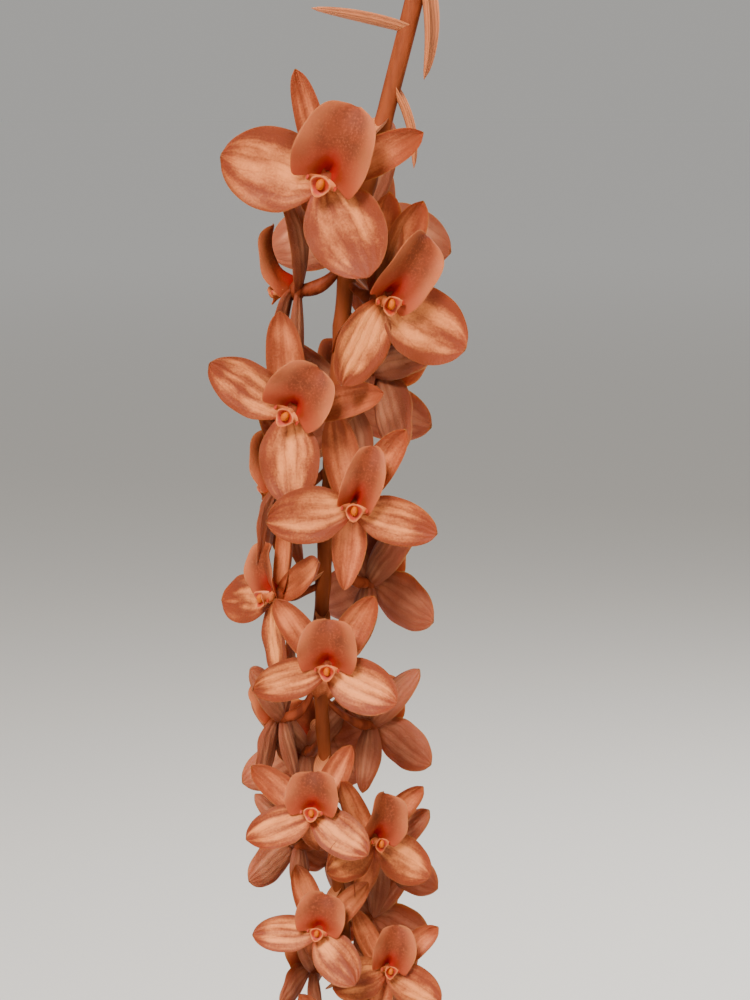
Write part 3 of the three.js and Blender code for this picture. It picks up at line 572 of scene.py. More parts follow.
# Stems and stalks have a firm skin with fine lengthwise streaks and a dull shine.
def stemBark(name, light, dark, grain):
    material, tree, shader = newFinish(
        name,
        Roughness=0.5,
        Subsurface_Weight=0.1,
        Subsurface_Scale=0.0008,
        Specular_IOR_Level=0.06,
    )
    streaks = mottle(tree, grain, 4.0, (1, 1, 0.22))
    tint = layer(tree, colour(dark), colour(light), streaks, 0.34, 0.66)
    dress(tree, shader, tint, mottle(tree, grain * 0.35, stretch=(1, 1, 0.2)), 0.06, 0.4)
    return material


# Dry bracts and sheaths are papery, with fibres that run to the tip.
def paper(name, pale, dark, fibres, grain):
    material, tree, shader = newFinish(name, Roughness=0.65, Subsurface_Weight=0.08, Subsurface_Scale=0.0006)
    lines = veinLines(tree, bladePlace(tree)[1], fibres, grain * 2, 0.2)
    patchy = addNode(tree, "ShaderNodeMath", {0: lines, 1: mottle(tree, grain, 4.0)}, operation="MULTIPLY")
    tint = layer(tree, colour(dark), colour(pale), patchy, 0.02, 0.2)
    dress(tree, shader, tint, lines, 0.1, 0.5)
    return material


petalSkin = petalTissue("petalTissue", petalLook)
sepalChanges = {
    "pale": "#bd6c42",
    "body": "#7a381f",
    "edge": "#70331b",
    "veins": 1.5,
    "banding": 0.9,
    "veining": 0.1,
    "streaksAndSheen": 2.6,
}
sepalSkin = petalTissue("sepalTissue", {**petalLook, **sepalChanges})

# The undersides of petals and sepals are duller, with fewer painted glints and less painted sheen.
undersideChanges = {
    "pale": "#ae7456",
    "body": "#7b432e",
    "vein": "#5f301f",
    "edge": "#743e2a",
    "root": "#6f3320",
    "paintedGlints": 0.3,
    "streaksAndSheen": 2.0,
    "paleness": 0.85,
}
undersideSkin = petalTissue("petalUnderside", {**petalLook, **undersideChanges})
lipSkin = lipTissue(lipLook)
columnWax = wax("columnWax", "#a85a30", "#8c2006", 0.25)
antherWax = wax("antherWax", "#a04a00", "#a04a00", 0.12)
stalkSkin = stemBark("stalkSkin", "#7d3820", "#5c2413", 0.9)
stemSkin = stemBark("stemSkin", "#7a3b20", "#652e18", 1.2)
bractPaper = paper("bractPaper", "#b4693e", "#96552f", 5.0, 1.6)
bloomFinishes = [petalSkin, sepalSkin, lipSkin, columnWax, antherWax, stalkSkin, undersideSkin]
petalNumber, sepalNumber, lipNumber, columnNumber, antherNumber, stalkNumber, undersideNumber = range(7)
print("flower finishes made")


# The spray

stem = {
    "route": [
        (-24, -4, 96), (-25.5, -4, 150), (-32, -5, 215), (-47, -7, 280), (-70, -9, 327), (-96, -11, 345),
        (-115, -12, 333), (-124, -12.5, 312), (-127, -12.5, 299), (-130.1, -12.5, 286.8),
        (-133.9, -12.5, 271.4), (-135.3, -12.5, 257), (-136.6, -12.5, 240), (-137.2, -12.5, 226),
        (-136.3, -12.5, 211), (-134.5, -12.5, 195), (-132.5, -12.5, 178), (-131, -12.5, 160),
        (-130.5, -12.5, 153.5), (-130.3, -12.5, 148),
    ],
    "hangsFrom": 0.32,  # the share of the route from which it only sinks
    "footRadius": 1.3,
    "neckRadius": 1.0,
    "tipRadius": 0.45,
    "neckAt": 0.45,
    "tipShare": 0.45,
    "tipFrom": 0.985,
    "knot": 0.16,
    "knotHeight": 1.1,
    "sides": 16,
    "steps": 320,
}
stemRoute = [np.array(p, dtype=float) for p in stem["route"]]

spray = {
    "top": 300.0,  # the height from which drops are counted
    "firstDrop": 15.0,
    "reach": 9.0,
    "pitch": 6.5,
    "sizeAtTop": 1.084,
    "taper": 0.0042,
    "openBelow": 9,
    "buds": 4,
    "rankAngle": 68.0,
    "rankTwist": 38.0,
    "rankStart": (80.0, 40.0),
    "rankNod": 8.0,
    "rankRoll": 24.0,
    "crowding": 0.92,
    "budReach": 0.55,
}

# Each bloom's drop, place round the stem, yaw, nod and roll of its face, from the top down
placedBlooms = [
    (19.9, -31, -6, 0, 24), (24.8, 178, 180, 0, 0), (32, -95, -98, 0, 0), (32.6, 34, 28, 0, 4),
    (41, 140, 122, -14, -30), (44.8, 172, 176, 0, 8), (44.6, -37, -8, 0, 36), (54, -112, -112, 0, 0),
    (54.8, 20, 8, 4, 8), (65, 134, 142, 0, 0), (65.2, -62, -54, 4, 10), (72.5, 7, 0, 8, 3),
    (79.5, -100, -112, 0, 0), (80.9, 124, 146, 0, 0), (84.5, -160, -168, 0, 0), (88.9, -15, -5, 24, 2),
    (92.4, 48, 32, 8, 10), (94.5, -122, -136, 0, 0), (96, 124, 146, 0, 0), (102.5, -26, -6, 18, 10),
    (103.5, 150, 160, 0, 0), (107.2, 49, 22, 14, 14), (108.6, -108, -118, 0, 0),
]

# What single blooms do their own way: the turns of their blades in order, how far they stand from the stem,
# the length and width of their lip, the widths of their right and left petals and sepals, and their dorsal's
# lean. All but turns and lean are shares of the usual.
ownWays = {
    0: {"turns": (0, 40, 130, 176, -100, -38), "lip": (1.12, 1.04), "petals": (1.14, 1.18),
        "sepals": (0.9, 0.66), "dorsalLean": -58},
    1: {"turns": (0, 16, 110, 180, -110, -16)},
    2: {"turns": (8, 22, 150, 170, -160, -4), "lip": (1.0, 0.55), "reach": 0.66},
    3: {"turns": (30, 20, 118, 190, -150, 2), "lip": (1.14, 0.8), "petals": (1.1, 0.84), "reach": 0.84,
        "dorsalLean": -50},
    4: {"reach": 0.8},
    6: {"turns": (0, 41, 142, 196, -94, -41), "lip": (0.86, 1.0), "petals": (1.05, 0.84), "dorsalLean": -60},
    7: {"turns": (4, 20, 150, 176, -150, -12), "lip": (1.0, 0.6), "reach": 0.76},
    8: {"turns": (10, 26, 100, 177, -106, -18), "lip": (1.06, 0.62), "petals": (0.78, 0.92),
        "dorsalLean": -2},
    10: {"turns": (-20, 50, 156, 190, -112, -6), "lip": (0.92, 0.7), "petals": (0.7, 0.9), "reach": 0.8},
    11: {"turns": (0, 30, 113, 184, -108, -40), "lip": (0.9, 0.98), "petals": (1.1, 0.76), "dorsalLean": -62},
    12: {"turns": (10, 44, 150, 186, -136, -24), "lip": (0.9, 0.65), "reach": 0.72},
    15: {"turns": (0, 26, 124, 176, -118, -56), "lip": (0.82, 1.05), "petals": (0.96, 0.86),
         "dorsalLean": -64},
    17: {"reach": 0.8},
    19: {"turns": (0, 34, 132, 184, -104, -30), "lip": (0.84, 1.0), "petals": (1.0, 0.8), "dorsalLean": -60},
    22: {"reach": 0.8},
}


# The stem's middle at a drop below the spray's top, found by halving
def stemAt(drop):
    height = spray["top"] - drop
    high, low = stem["hangsFrom"], 1.0
    for _ in range(40):
        middle = (high + low) / 2
        if splinePoint(stemRoute, middle)[2] > height:
            high = middle
        else:
            low = middle
    return splinePoint(stemRoute, low)


def allBlooms():
    names = ("drop", "round", "yaw", "nod", "roll")
    blooms = [dict(zip(names, row), open=True) for row in placedBlooms]
    for number, bloom in enumerate(blooms):
        bloom["reach"] = ownWays.get(number, {}).get("reach", 1)
    sizeAt = lambda drop: spray["sizeAtTop"] - spray["taper"] * drop
    drop = blooms[-1]["drop"]
    for k in range(spray["openBelow"] + spray["buds"]):
        drop += spray["pitch"] * spray["crowding"] * sizeAt(drop)
        rank = k % 2
        side = (-1 if rank else 1) * spray["rankAngle"]
        turn = side + spray["rankStart"][rank] + spray["rankTwist"] * (k // 2)
        row = (drop, turn, turn, spray["rankNod"], spray["rankRoll"] * wobble(k, 3))
        blooms.append(dict(zip(names, row), open=k < spray["openBelow"], reach=1))
    for bloom in blooms:
        bloom["size"] = sizeAt(bloom["drop"])
    total = sum(bloom["size"] for bloom in blooms)
    root = spray["firstDrop"]
    for bloom in blooms:
        bloom["root"] = root
        root += (drop - spray["firstDrop"]) * bloom["size"] / total
    return blooms


# A bloom's middle, and its directions: out of its face, up and right as its viewer sees them
def bloomPlace(bloom):
    yaw, nod, roll = (math.radians(bloom[name]) for name in ("yaw", "nod", "roll"))
    reach = spray["reach"] * bloom["size"] * (bloom["reach"] if bloom["open"] else spray["budReach"])
    face = np.array([math.sin(yaw) * math.cos(nod), -math.cos(yaw) * math.cos(nod), math.sin(nod)])
    straight = unit(upwards - face * face[2])
    up = straight * math.cos(roll) - np.cross(face, straight) * math.sin(roll)
    middle = stemAt(bloom["drop"]) + reach * outwards(bloom["round"])
    return {"middle": middle, "face": face, "up": up, "right": np.cross(up, face)}


# The heart is the knot where all parts of a bloom meet. The levels of the blades' roots and of the stalk's
# end are counted out of the face, at full size.
heart = {"radius": 1.3, "flat": 0.75, "sunk": 0.35, "back": -1.2, "sepal": -0.65, "petal": 0.1, "lip": 0.35}

# An outline gives a blade's share of its full width from its root to its tip.
outlines = {
    "lip": [(0, 0.34), (0.1, 0.53), (0.24, 0.79), (0.42, 0.97), (0.6, 0.98), (0.77, 0.85), (0.91, 0.58),
            (1, 0.14)],
    "petal": [(0, 0.22), (0.14, 0.6), (0.32, 0.93), (0.48, 1), (0.66, 0.94), (0.82, 0.74), (0.94, 0.42),
              (1, 0.04)],
    "sepal": [(0, 0.5), (0.2, 0.84), (0.42, 1), (0.62, 0.96), (0.8, 0.79), (0.93, 0.49), (1, 0.06)],
    "dorsal": [(0, 0.4), (0.2, 0.8), (0.42, 1), (0.64, 0.88), (0.82, 0.6), (0.94, 0.34), (1, 0.05)],
}

# Each blade's turn is clockwise from the lip. lean is its rise towards the viewer at its root and curl what
# is added by its tip. hook bends its last part, cup is the rise of its sides, and wave how wavy its edge is.
lateral = {"kind": "sepal", "outline": "sepal", "length": 12.4, "width": 4.6, "lean": -8, "curl": 24,
           "cup": 0.45, "hook": 8, "wave": 0.04, "thick": 0.36}
petal = {"kind": "petal", "outline": "petal", "length": 11.3, "width": 7.3, "lean": 16, "curl": -24,
         "cup": 0.2, "hook": 16, "wave": 0.12, "thick": 0.32}
blades = [
    {"kind": "lip", "outline": "lip", "turn": 0, "length": 8.5, "width": 8.3, "lean": 34, "curl": -34,
     "cup": 0.36, "hook": -22, "wave": 0.22, "thick": 0.42},
    {**lateral, "turn": 41},
    {**petal, "turn": 114},
    {"kind": "sepal", "outline": "dorsal", "turn": 180, "length": 10.6, "width": 4.6, "lean": -6, "curl": -8,
     "cup": 0.4, "hook": 6, "wave": 0.04, "thick": 0.36},
    {**petal, "turn": -114, "width": 7.5},
    {**lateral, "turn": -41},
]
bladeWobble = {"turn": 9, "lean": 12, "curl": 16, "width": 0.14, "twist": 22}
bladeGrid = {"lip": (27, 19), "petal": (23, 17), "sepal": (19, 11)}
finishNumber = {"lip": lipNumber, "petal": petalNumber, "sepal": sepalNumber}

# What the folds of the blades measure at full size. waves and plaits are how many there are.
folds = {
    "waves": 2.6,
    "plaits": 2.6,
    "plait": 0.05,
    "crease": 0.12,
    "keel": 0.4,
    "pit": 1.1,
    "groove": 0.14,
    "sweep": 0.35,  # of the lip's length, by which its lobes reach back
    "sweepRise": 0.25,
}


# A blade's share of its full width, smooth through its outline's points
def widthShare(outline, t):
    points = [np.array(point, dtype=float) for point in outline]
    curve = np.array([splinePoint(points, u) for u in np.linspace(0, 1, 120)])
    return np.interp(t, curve[:, 0], curve[:, 1])


# How one blade of one bloom turns, leans, curls and twists, and its length and width
def bladeWays(spec, size, piece, k):
    own = ownWays.get(piece, {})
    stray = {}
    for use, (name, most) in enumerate(bladeWobble.items()):
        stray[name] = most * wobble(piece, k + 10 * use)
    lean = spec["lean"] + stray["lean"]
    if spec["outline"] == "dorsal":
        lean = own.get("dorsalLean", lean)
    longer, wider = own.get("lip", (1, 1)) if spec["kind"] == "lip" else (1, 1)
    if spec["outline"] in ("petal", "sepal"):
        wider = own.get(spec["outline"] + "s", (1, 1))[0 if spec["turn"] > 0 else 1]
    return {
        "turn": math.radians(own["turns"][k] if "turns" in own else spec["turn"] + stray["turn"]),
        "lean": lean,
        "curl": spec["curl"] + stray["curl"],
        "twist": math.radians(stray["twist"]),
        "length": spec["length"] * size * longer,
        "width": spec["width"] * size * wider * (1 + stray["width"]),
    }


# The rise of a blade over its middle line, with the folds of its kind, and how far its sides sweep back
def bladeFolds(spec, size, length, half, t, s, phase):
    far = np.abs(s)
    waves = np.sin(2 * math.pi * (folds["waves"] * t + phase) + 1.3 * np.sign(s))
    lift = spec["cup"] * half * (s ** 2 - 0.3)
    lift = lift + spec["wave"] * size * waves * far ** 3 * smooth(0.1, 0.5, t)
    back = 0 * lift
    if spec["kind"] == "petal":
        plaits = np.cos(s * folds["plaits"] * 2 * math.pi) * (1 - far ** 3) * smooth(0.0, 0.3, t)
        lift = lift - folds["plait"] * size * plaits
    if spec["kind"] == "sepal":
        lift = lift - folds["crease"] * size * (1 - smooth(0.0, 0.3, far)) * smooth(0.0, 0.4, t)
    if spec["kind"] == "lip":
        pit = np.exp(-((s / 0.36) ** 2) - ((t - 0.1) / 0.17) ** 2)
        keels = np.exp(-(((far - 0.4) / 0.13) ** 2) - ((t - 0.3) / 0.18) ** 2)
        groove = np.exp(-((s / 0.12) ** 2)) * smooth(0.2, 0.5, t) * (1 - smooth(0.7, 1.0, t))
        back = folds["sweep"] * length * far ** 2 * (1 - t) ** 1.3 * smooth(0.0, 0.3, t)
        lift = lift + size * (folds["keel"] * keels - folds["pit"] * pit - folds["groove"] * groove)
        lift = lift + folds["sweepRise"] * back
    return lift, back


def addBloomBlade(skin, spec, size, place, piece, k):
    rows, columns = bladeGrid[spec["kind"]]
    ways = bladeWays(spec, size, piece, k)
    along = place["up"] * math.cos(ways["turn"]) + place["right"] * math.sin(ways["turn"])
    across = np.cross(along, place["face"])

    # the line from root to tip, in the plane of the turn and the face
    t = 1 - (1 - np.linspace(0, 1, rows)) ** 1.35
    angle = np.radians(ways["lean"] + ways["curl"] * t + spec["hook"] * smooth(0.5, 1.0, t) * 1.6)
    step = np.diff(t, prepend=0) * ways["length"]
    between = np.concatenate([[angle[0]], (angle[1:] + angle[:-1]) / 2])
    forward = np.cumsum(np.cos(between) * step)[:, None]
    outward = np.cumsum(np.sin(between) * step)[:, None] + heart[spec["kind"]] * size
    middle = place["middle"] + forward * along + outward * place["face"]
    rise, run = np.sin(angle)[:, None], np.cos(angle)[:, None]
    tangent = run * along + rise * place["face"]
    front = run * place["face"] - rise * along
    turned = (ways["twist"] * t)[:, None]
    sideways = np.cos(turned) * across + np.sin(turned) * front
    normal = np.cos(turned) * front - np.sin(turned) * across

    # the two sheets over that line
    half = widthShare(outlines[spec["outline"]], t) * ways["width"] / 2
    s = np.sin(np.linspace(-1, 1, columns) * math.pi / 2)
    marks = placeMarks((s + 1) / 2, t)
    t = t[:, None]
    lift, back = bladeFolds(spec, size, ways["length"], half[:, None], t, s, wobble(piece, k + 50))
    centre = bladeSurface(middle, half, s, sideways[:, None, :], lift, normal)
    centre = centre - back[..., None] * tangent[:, None, :]
    section = np.sqrt(np.clip(1 - s ** 4, 0, 1)) * np.sqrt(np.clip(1.02 - t ** 5, 0, 1))
    push = (spec["thick"] / 2 * size * section)[..., None] * normal[:, None, :]
    push[-1] = 0
    rearFinish = lipNumber if spec["kind"] == "lip" else undersideNumber
    addBlade(skin, centre + push, centre - push, marks, finishNumber[spec["kind"]], rearFinish)


# The column stands out of the heart, with a three-lobed hood at its end, two side arms and the anther cap
# in it. Its profile holds shares of its length and of its waist.
column = {
    "length": 2.6,
    "droop": 10.0,
    "waist": 0.72,
    "sides": 18,
    "profile": [(0.0, 1.05), (0.35, 0.8), (0.62, 0.74), (0.8, 0.92), (0.93, 1.1), (1.0, 1.16), (1.01, 1.02),
                (0.9, 0.8)],
    "flare": 0.36,
    "lobes": 0.09,
    "anther": (0.459, 0.648, 0.54),
    "antherAt": (0.12, 0.93),
    "arm": [(0.5, 0.1, 0.7), (1.1, 0.15, 1.2), (1.5, 0.2, 1.8), (1.6, 0.3, 2.3)],
    "armRadii": (0.42, 0.2),
    "armSides": 8,
}


def addColumn(skin, size, place):
    droop = math.radians(column["droop"])
    axis = place["face"] * math.cos(droop) - place["up"] * math.sin(droop)
    over = squareTo(axis, place["up"])[0]
    right = np.cross(over, axis)
    length = column["length"] * size
    angles = roundAngles(column["sides"])
    lobes = column["lobes"] * np.cos(3 * angles)
    rings = []
    for t, share in column["profile"]:
        radius = column["waist"] * size * share * (1 + column["flare"] * smooth(0.7, 1.0, t))
        radius = radius * (1 + lobes * smooth(0.6, 1.0, t))[:, None]
        reach = length * (t + lobes * smooth(0.8, 1.0, t))[:, None]
        rings.append(place["middle"] + radius * ringOf(angles, -over, right) + reach * axis)
    addRings(skin, rings, placeMarks(angles / 7, np.linspace(0, 1, len(rings))), columnNumber)
    rise, reach = column["antherAt"]
    cap = place["middle"] + axis * length * reach + over * rise * size
    addEgg(skin, cap, (right, over, axis), np.array(column["anther"]) * size, antherNumber)
    thick, thin = column["armRadii"]
    for side in (-1, 1):
        out = right * side
        arm = [place["middle"] + size * (out * x + over * y + axis * z) for x, y, z in column["arm"]]
        shape = lambda t, around: size * mix(thick, thin, t) * (1 + 0.35 * np.cos(2 * around))
        addTube(skin, arm, shape, column["armSides"], columnNumber, over)


# The stalk bends out of the stem and swells to the ribbed seed vessel behind the face.
stalk = {
    "foot": 0.42,
    "neck": 0.62,
    "vessel": 0.34,
    "vesselAt": 0.74,
    "vesselSpan": 0.2,
    "ribs": 0.07,
    "thinnest": 0.62,
    "straight": 4.0,
    "sides": 12,
    "rings": 15,
}


def addStalk(skin, bloom, place):
    size = bloom["size"]
    root = stemAt(bloom["root"])
    end = place["middle"] + place["face"] * heart["back"] * 0.4 * size
    bend = place["middle"] + place["face"] * (heart["back"] - stalk["straight"]) * size
    centres = [bowPoint(root, bend, end, t) for t in np.linspace(0, 1, stalk["rings"])]

    def shape(t, around):
        swelling = stalk["vessel"] * math.exp(-(((t - stalk["vesselAt"]) / stalk["vesselSpan"]) ** 2))
        ribs = 1 + stalk["ribs"] * np.cos(6 * around + 5 * t) * smooth(0.4, 0.8, t)
        return (mix(stalk["foot"], stalk["neck"], t) + swelling) * max(size, stalk["thinnest"]) * ribs

    addTube(skin, centres, shape, stalk["sides"], stalkNumber, place["up"])


bud = {"length": 6.6, "radius": 1.9, "sunk": 0.3, "blunt": 0.12, "seams": 0.1, "sides": 15, "rings": 12}


def addBud(skin, bloom, place):
    ahead = place["face"] * bud["length"] * bloom["size"]
    centres = [place["middle"] + ahead * (t - bud["sunk"]) for t in np.linspace(0, 1, bud["rings"])]

    def shape(t, around):
        seams = 1 - bud["seams"] * np.abs(np.cos(1.5 * around)) ** 6
        girth = bud["blunt"] + 1.55 * (t + 0.02) ** 0.5 * (1.02 - t) ** 0.8
        return bud["radius"] * bloom["size"] * girth * 0.86 * seams

    addTube(skin, centres, shape, bud["sides"], sepalNumber, place["up"])


def makeBloom(number, bloom):
    skin = newSkin()
    place = bloomPlace(bloom)
    size = bloom["size"]
    addStalk(skin, bloom, place)
    if bloom["open"]:
        centre = place["middle"] - place["face"] * heart["sunk"] * size
        sizes = heart["radius"] * size * np.array([1, 1, heart["flat"]])
        addEgg(skin, centre, (place["right"], place["up"], place["face"]), sizes, stalkNumber)
        for k, spec in enumerate(blades):
            addBloomBlade(skin, spec, size, place, number, k)
        addColumn(skin, size, place)
    else:
        addBud(skin, bloom, place)
    makePiece(f"bloom_{number + 1:02d}", skin, bloomFinishes, [f"flower_{number + 1:02d}"])


blooms = allBlooms()
for number, bloom in enumerate(blooms):
    makeBloom(number, bloom)
print("blooms made:", len(blooms))


# A tree for round stems: tubes along the lines of its source, as thick as their points say
def tubeTree():
    tree, inputs = newTree("tubes", {"Sides": "Int", "Finish": "Material"})
    lines = addNode(tree, "GeometryNodeMeshToCurve", {"Mesh": inputs["Geometry"]})
    ring = addNode(tree, "GeometryNodeCurvePrimitiveCircle", {"Resolution": inputs["Sides"], "Radius": 1.0})
    radius = addNode(tree, "GeometryNodeInputNamedAttribute", {"Name": "radius"}, data_type="FLOAT")
    tubes = addNode(tree, "GeometryNodeCurveToMesh", {
        "Curve": lines,
        "Profile Curve": ring.outputs["Curve"],
        "Scale": radius,
        "Fill Caps": True,
    })
    endTree(tree, tubes, inputs["Finish"])
    return tree


# Tubes along routes, each a list of points and a list of radii
def makeTubes(name, routes, sides, finish):
    points, edges, radii = [], [], []
    for line, thickness in routes:
        edges += [(len(points) + n, len(points) + n + 1) for n in range(len(line) - 1)]
        points += list(line)
        radii += [r / metre for r in thickness]
    source = newSource(name + "Line", points, edges, [], {"radius": ("FLOAT", radii)})
    return grow(name, source, tubes, {"Sides": sides, "Finish": finish})


tubes = tubeTree()


# The flower stem: one tube along its route, thinner towards the tip and thicker where a stalk leaves it
def makeStem():
    shares = np.linspace(0, 1, stem["steps"] + 1)
    points = [splinePoint(stemRoute, u) for u in shares]
    radii = []
    for u, point in zip(shares, points):
        if u < stem["neckAt"]:
            radius = mix(stem["footRadius"], stem["neckRadius"], u / stem["neckAt"])
        else:
            beyond = (u - stem["neckAt"]) / (1 - stem["neckAt"])
            radius = mix(stem["neckRadius"], stem["tipRadius"], beyond)
        if u > stem["hangsFrom"]:
            for bloom in blooms:
                rise = (point[2] - spray["top"] + bloom["root"]) / stem["knotHeight"]
                radius += stem["knot"] * bloom["size"] * math.exp(-(rise ** 2))
        radii.append(radius * mix(stem["tipShare"], 1, smooth(1.0, stem["tipFrom"], u)))
    piece = makeTubes("stem", [(points, radii)], stem["sides"], stemSkin)
    finishPiece(piece, ["flower_stem"])


makeStem()

# The bare bracts at the top of the spray. lean is the rise at the root, and curl is added to it.
bract = {
    "bare": [
        {"drop": 3.8, "round": -84, "length": 10.6, "width": 2.9, "lean": 16, "curl": -8},
        {"drop": -2.8, "round": 66, "length": 12.2, "width": 2.8, "lean": -71, "curl": -32},
        {"drop": 9.8, "round": 76, "length": 9.4, "width": 1.9, "lean": -56, "curl": -36},
    ],
    "rows": 15,
    "columns": 9,
    "thick": 0.3,
    "cup": 0.75,
    "above": 1.5,
    "scale": {"length": 5.4, "width": 2.1, "lean": -22, "curl": -14},
}


# A boat-shaped blade: from the middle along a direction, leaning towards the face
def addBoat(skin, middle, along, face, spec):
    across = np.cross(along, face)
    t = np.linspace(0, 1, bract["rows"])
    s = np.linspace(-1, 1, bract["columns"])
    angle = np.radians(spec["lean"] + spec["curl"] * t)
    step = np.diff(t, prepend=0) * spec["length"]
    forward = np.cumsum(np.cos(angle) * step)[:, None]
    outward = np.cumsum(np.sin(angle) * step)[:, None]
    front = np.cos(angle)[:, None] * face - np.sin(angle)[:, None] * along
    share = (t + 0.12) ** 0.4 * (1.0 - t) ** 0.6
    half = np.maximum(share / share.max(), 0.03) * spec["width"] / 2
    lift = bract["cup"] * half[:, None] * (s ** 2 - 0.4)
    centre = bladeSurface(middle + forward * along + outward * face, half, s, across, lift, front)
    deep = bract["thick"] / 2 * np.sqrt(np.clip(1 - s ** 4, 0, 1)) * np.sqrt(1.02 - t[:, None] ** 4)
    deep[-1] = 0
    push = deep[..., None] * front[:, None, :]
    addBlade(skin, centre + push, centre - push, placeMarks((s + 1) / 2, t), 0)


def makeBareBracts():
    skin = newSkin()
    for spec in bract["bare"]:
        addBoat(skin, stemAt(spec["drop"]), outwards(spec["round"]), upwards, spec)
    makePiece("bareBracts", skin, [bractPaper])


# One small bract over each stalk's root: the same blade, placed, turned and sized along the stem
def makeScales():
    skin = newSkin()
    addBoat(skin, np.zeros(3), -rearwards, upwards, bract["scale"])
    master = makePiece("scaleMaster", skin, [bractPaper])
    tree, inputs = newTree("scales", {"Blade": "Object", "Finish": "Material"})
    blade = addNode(tree, "GeometryNodeObjectInfo", {"Object": inputs["Blade"]})
    turn = addNode(tree, "GeometryNodeInputNamedAttribute", {"Name": "turn"}, data_type="FLOAT_VECTOR")
    size = addNode(tree, "GeometryNodeInputNamedAttribute", {"Name": "size"}, data_type="FLOAT")
    placed = addNode(tree, "GeometryNodeInstanceOnPoints", {
        "Points": inputs["Geometry"],
        "Instance": blade.outputs["Geometry"],
        "Rotation": turn,
        "Scale": size,
    })
    endTree(tree, placed, inputs["Finish"])
    points = [stemAt(bloom["root"] - bract["above"] * bloom["size"]) for bloom in blooms]
    turns = [(0.0, 0.0, math.radians(bloom["round"])) for bloom in blooms]
    values = {"turn": ("FLOAT_VECTOR", turns), "size": ("FLOAT", [bloom["size"] for bloom in blooms])}
    source = newSource("scalePoints", points, [], [], values)
    piece = grow("scales", source, tree, {"Blade": master, "Finish": bractPaper})
    bpy.data.objects.remove(master)
    finishPiece(piece)


makeBareBracts()
makeScales()
print("stem and bracts made")


# The green parts

# Leaves are leathery and glossy, with a pale midrib and fine parallel veins.
leafLook = {"body": "#2f5a1c", "light": "#47762a", "deep": "#1f4314", "midrib": "#7f9a4a", "tip": "#857f38"}


def leafSkin(name, look):
    material, tree, shader = newFinish(
        name,
        Roughness=0.38,
        Specular_IOR_Level=0.5,
        Subsurface_Weight=0.08,
        Subsurface_Scale=0.0015,
        Subsurface_Radius=(0.4, 1.0, 0.2),
        Coat_Weight=0.15,
        Coat_Roughness=0.25,
    )
    along, side, farOut = bladePlace(tree)
    lines = veinLines(tree, side, 8.0, 40.0, 0.03)
    blotches = mottle(tree, 14.0, 4.0)
    clouds = layer(tree, colour(look["body"]), colour(look["light"]), blotches, 0.4, 0.72, 0.7)
    veined = layer(tree, clouds, colour(look["deep"]), lines, 0.16, 0.0, 0.65)
    ribbed = layer(tree, veined, colour(look["midrib"]), farOut, 0.09, 0.03, 0.85)
    tipped = layer(tree, ribbed, colour(look["tip"]), along, 0.95, 1.0, 0.8)
    dress(tree, shader, tipped, lines, 0.25, 0.45)
    return material


# Pseudobulbs have a smooth, slightly waxy green skin that yellows in patches and wrinkles lengthwise.
def bulbSkin():
    material, tree, shader = newFinish(
        "bulbSkin",
        Roughness=0.42,
        Subsurface_Weight=0.12,
        Subsurface_Scale=0.002,
        Subsurface_Radius=(0.5, 1.0, 0.25),
    )
    green = layer(tree, colour("#5f7c34"), colour("#93a24e"), mottle(tree, 9.0, 4.0), 0.36, 0.7)
    streaked = layer(tree, green, colour("#47602a"), mottle(tree, 2.4, 3.0, (1, 1, 0.15)), 0.5, 0.72, 0.7)
    dress(tree, shader, streaked, mottle(tree, 1.8, stretch=(1, 1, 0.12)), 0.3, 0.5)
    return material


matureLeaf = leafSkin("matureLeaf", leafLook)
youngSkin = leafSkin("youngLeaf", {**leafLook, "body": "#4c7d29", "light": "#6f9b3b", "deep": "#33601f"})
bulbGreen = bulbSkin()
sheathPaper = paper("sheathPaper", "#b79a70", "#6f5433", 12.0, 2.2)
shootPaper = paper("shootSheath", "#a8a866", "#6f7a3a", 9.0, 3.0)

leafShape = {
    "width": 35.0,
    "thick": 1.1,
    "fold": 0.3,
    "petiole": 0.24,
    "petioleWidth": 4.6,
    "petioleThick": 2.4,
    "petioleFold": 0.55,
    "bend": 1.7,
    "tipWidth": 0.3,
    "keel": 0.9,
    "steps": 13,
    "rows": 62,
    "columns": 17,
    "waves": 1.1,
    "waveCount": 3.2,
    "shorter": 0.3,  # a leaf ends this much before the end of its solid
}


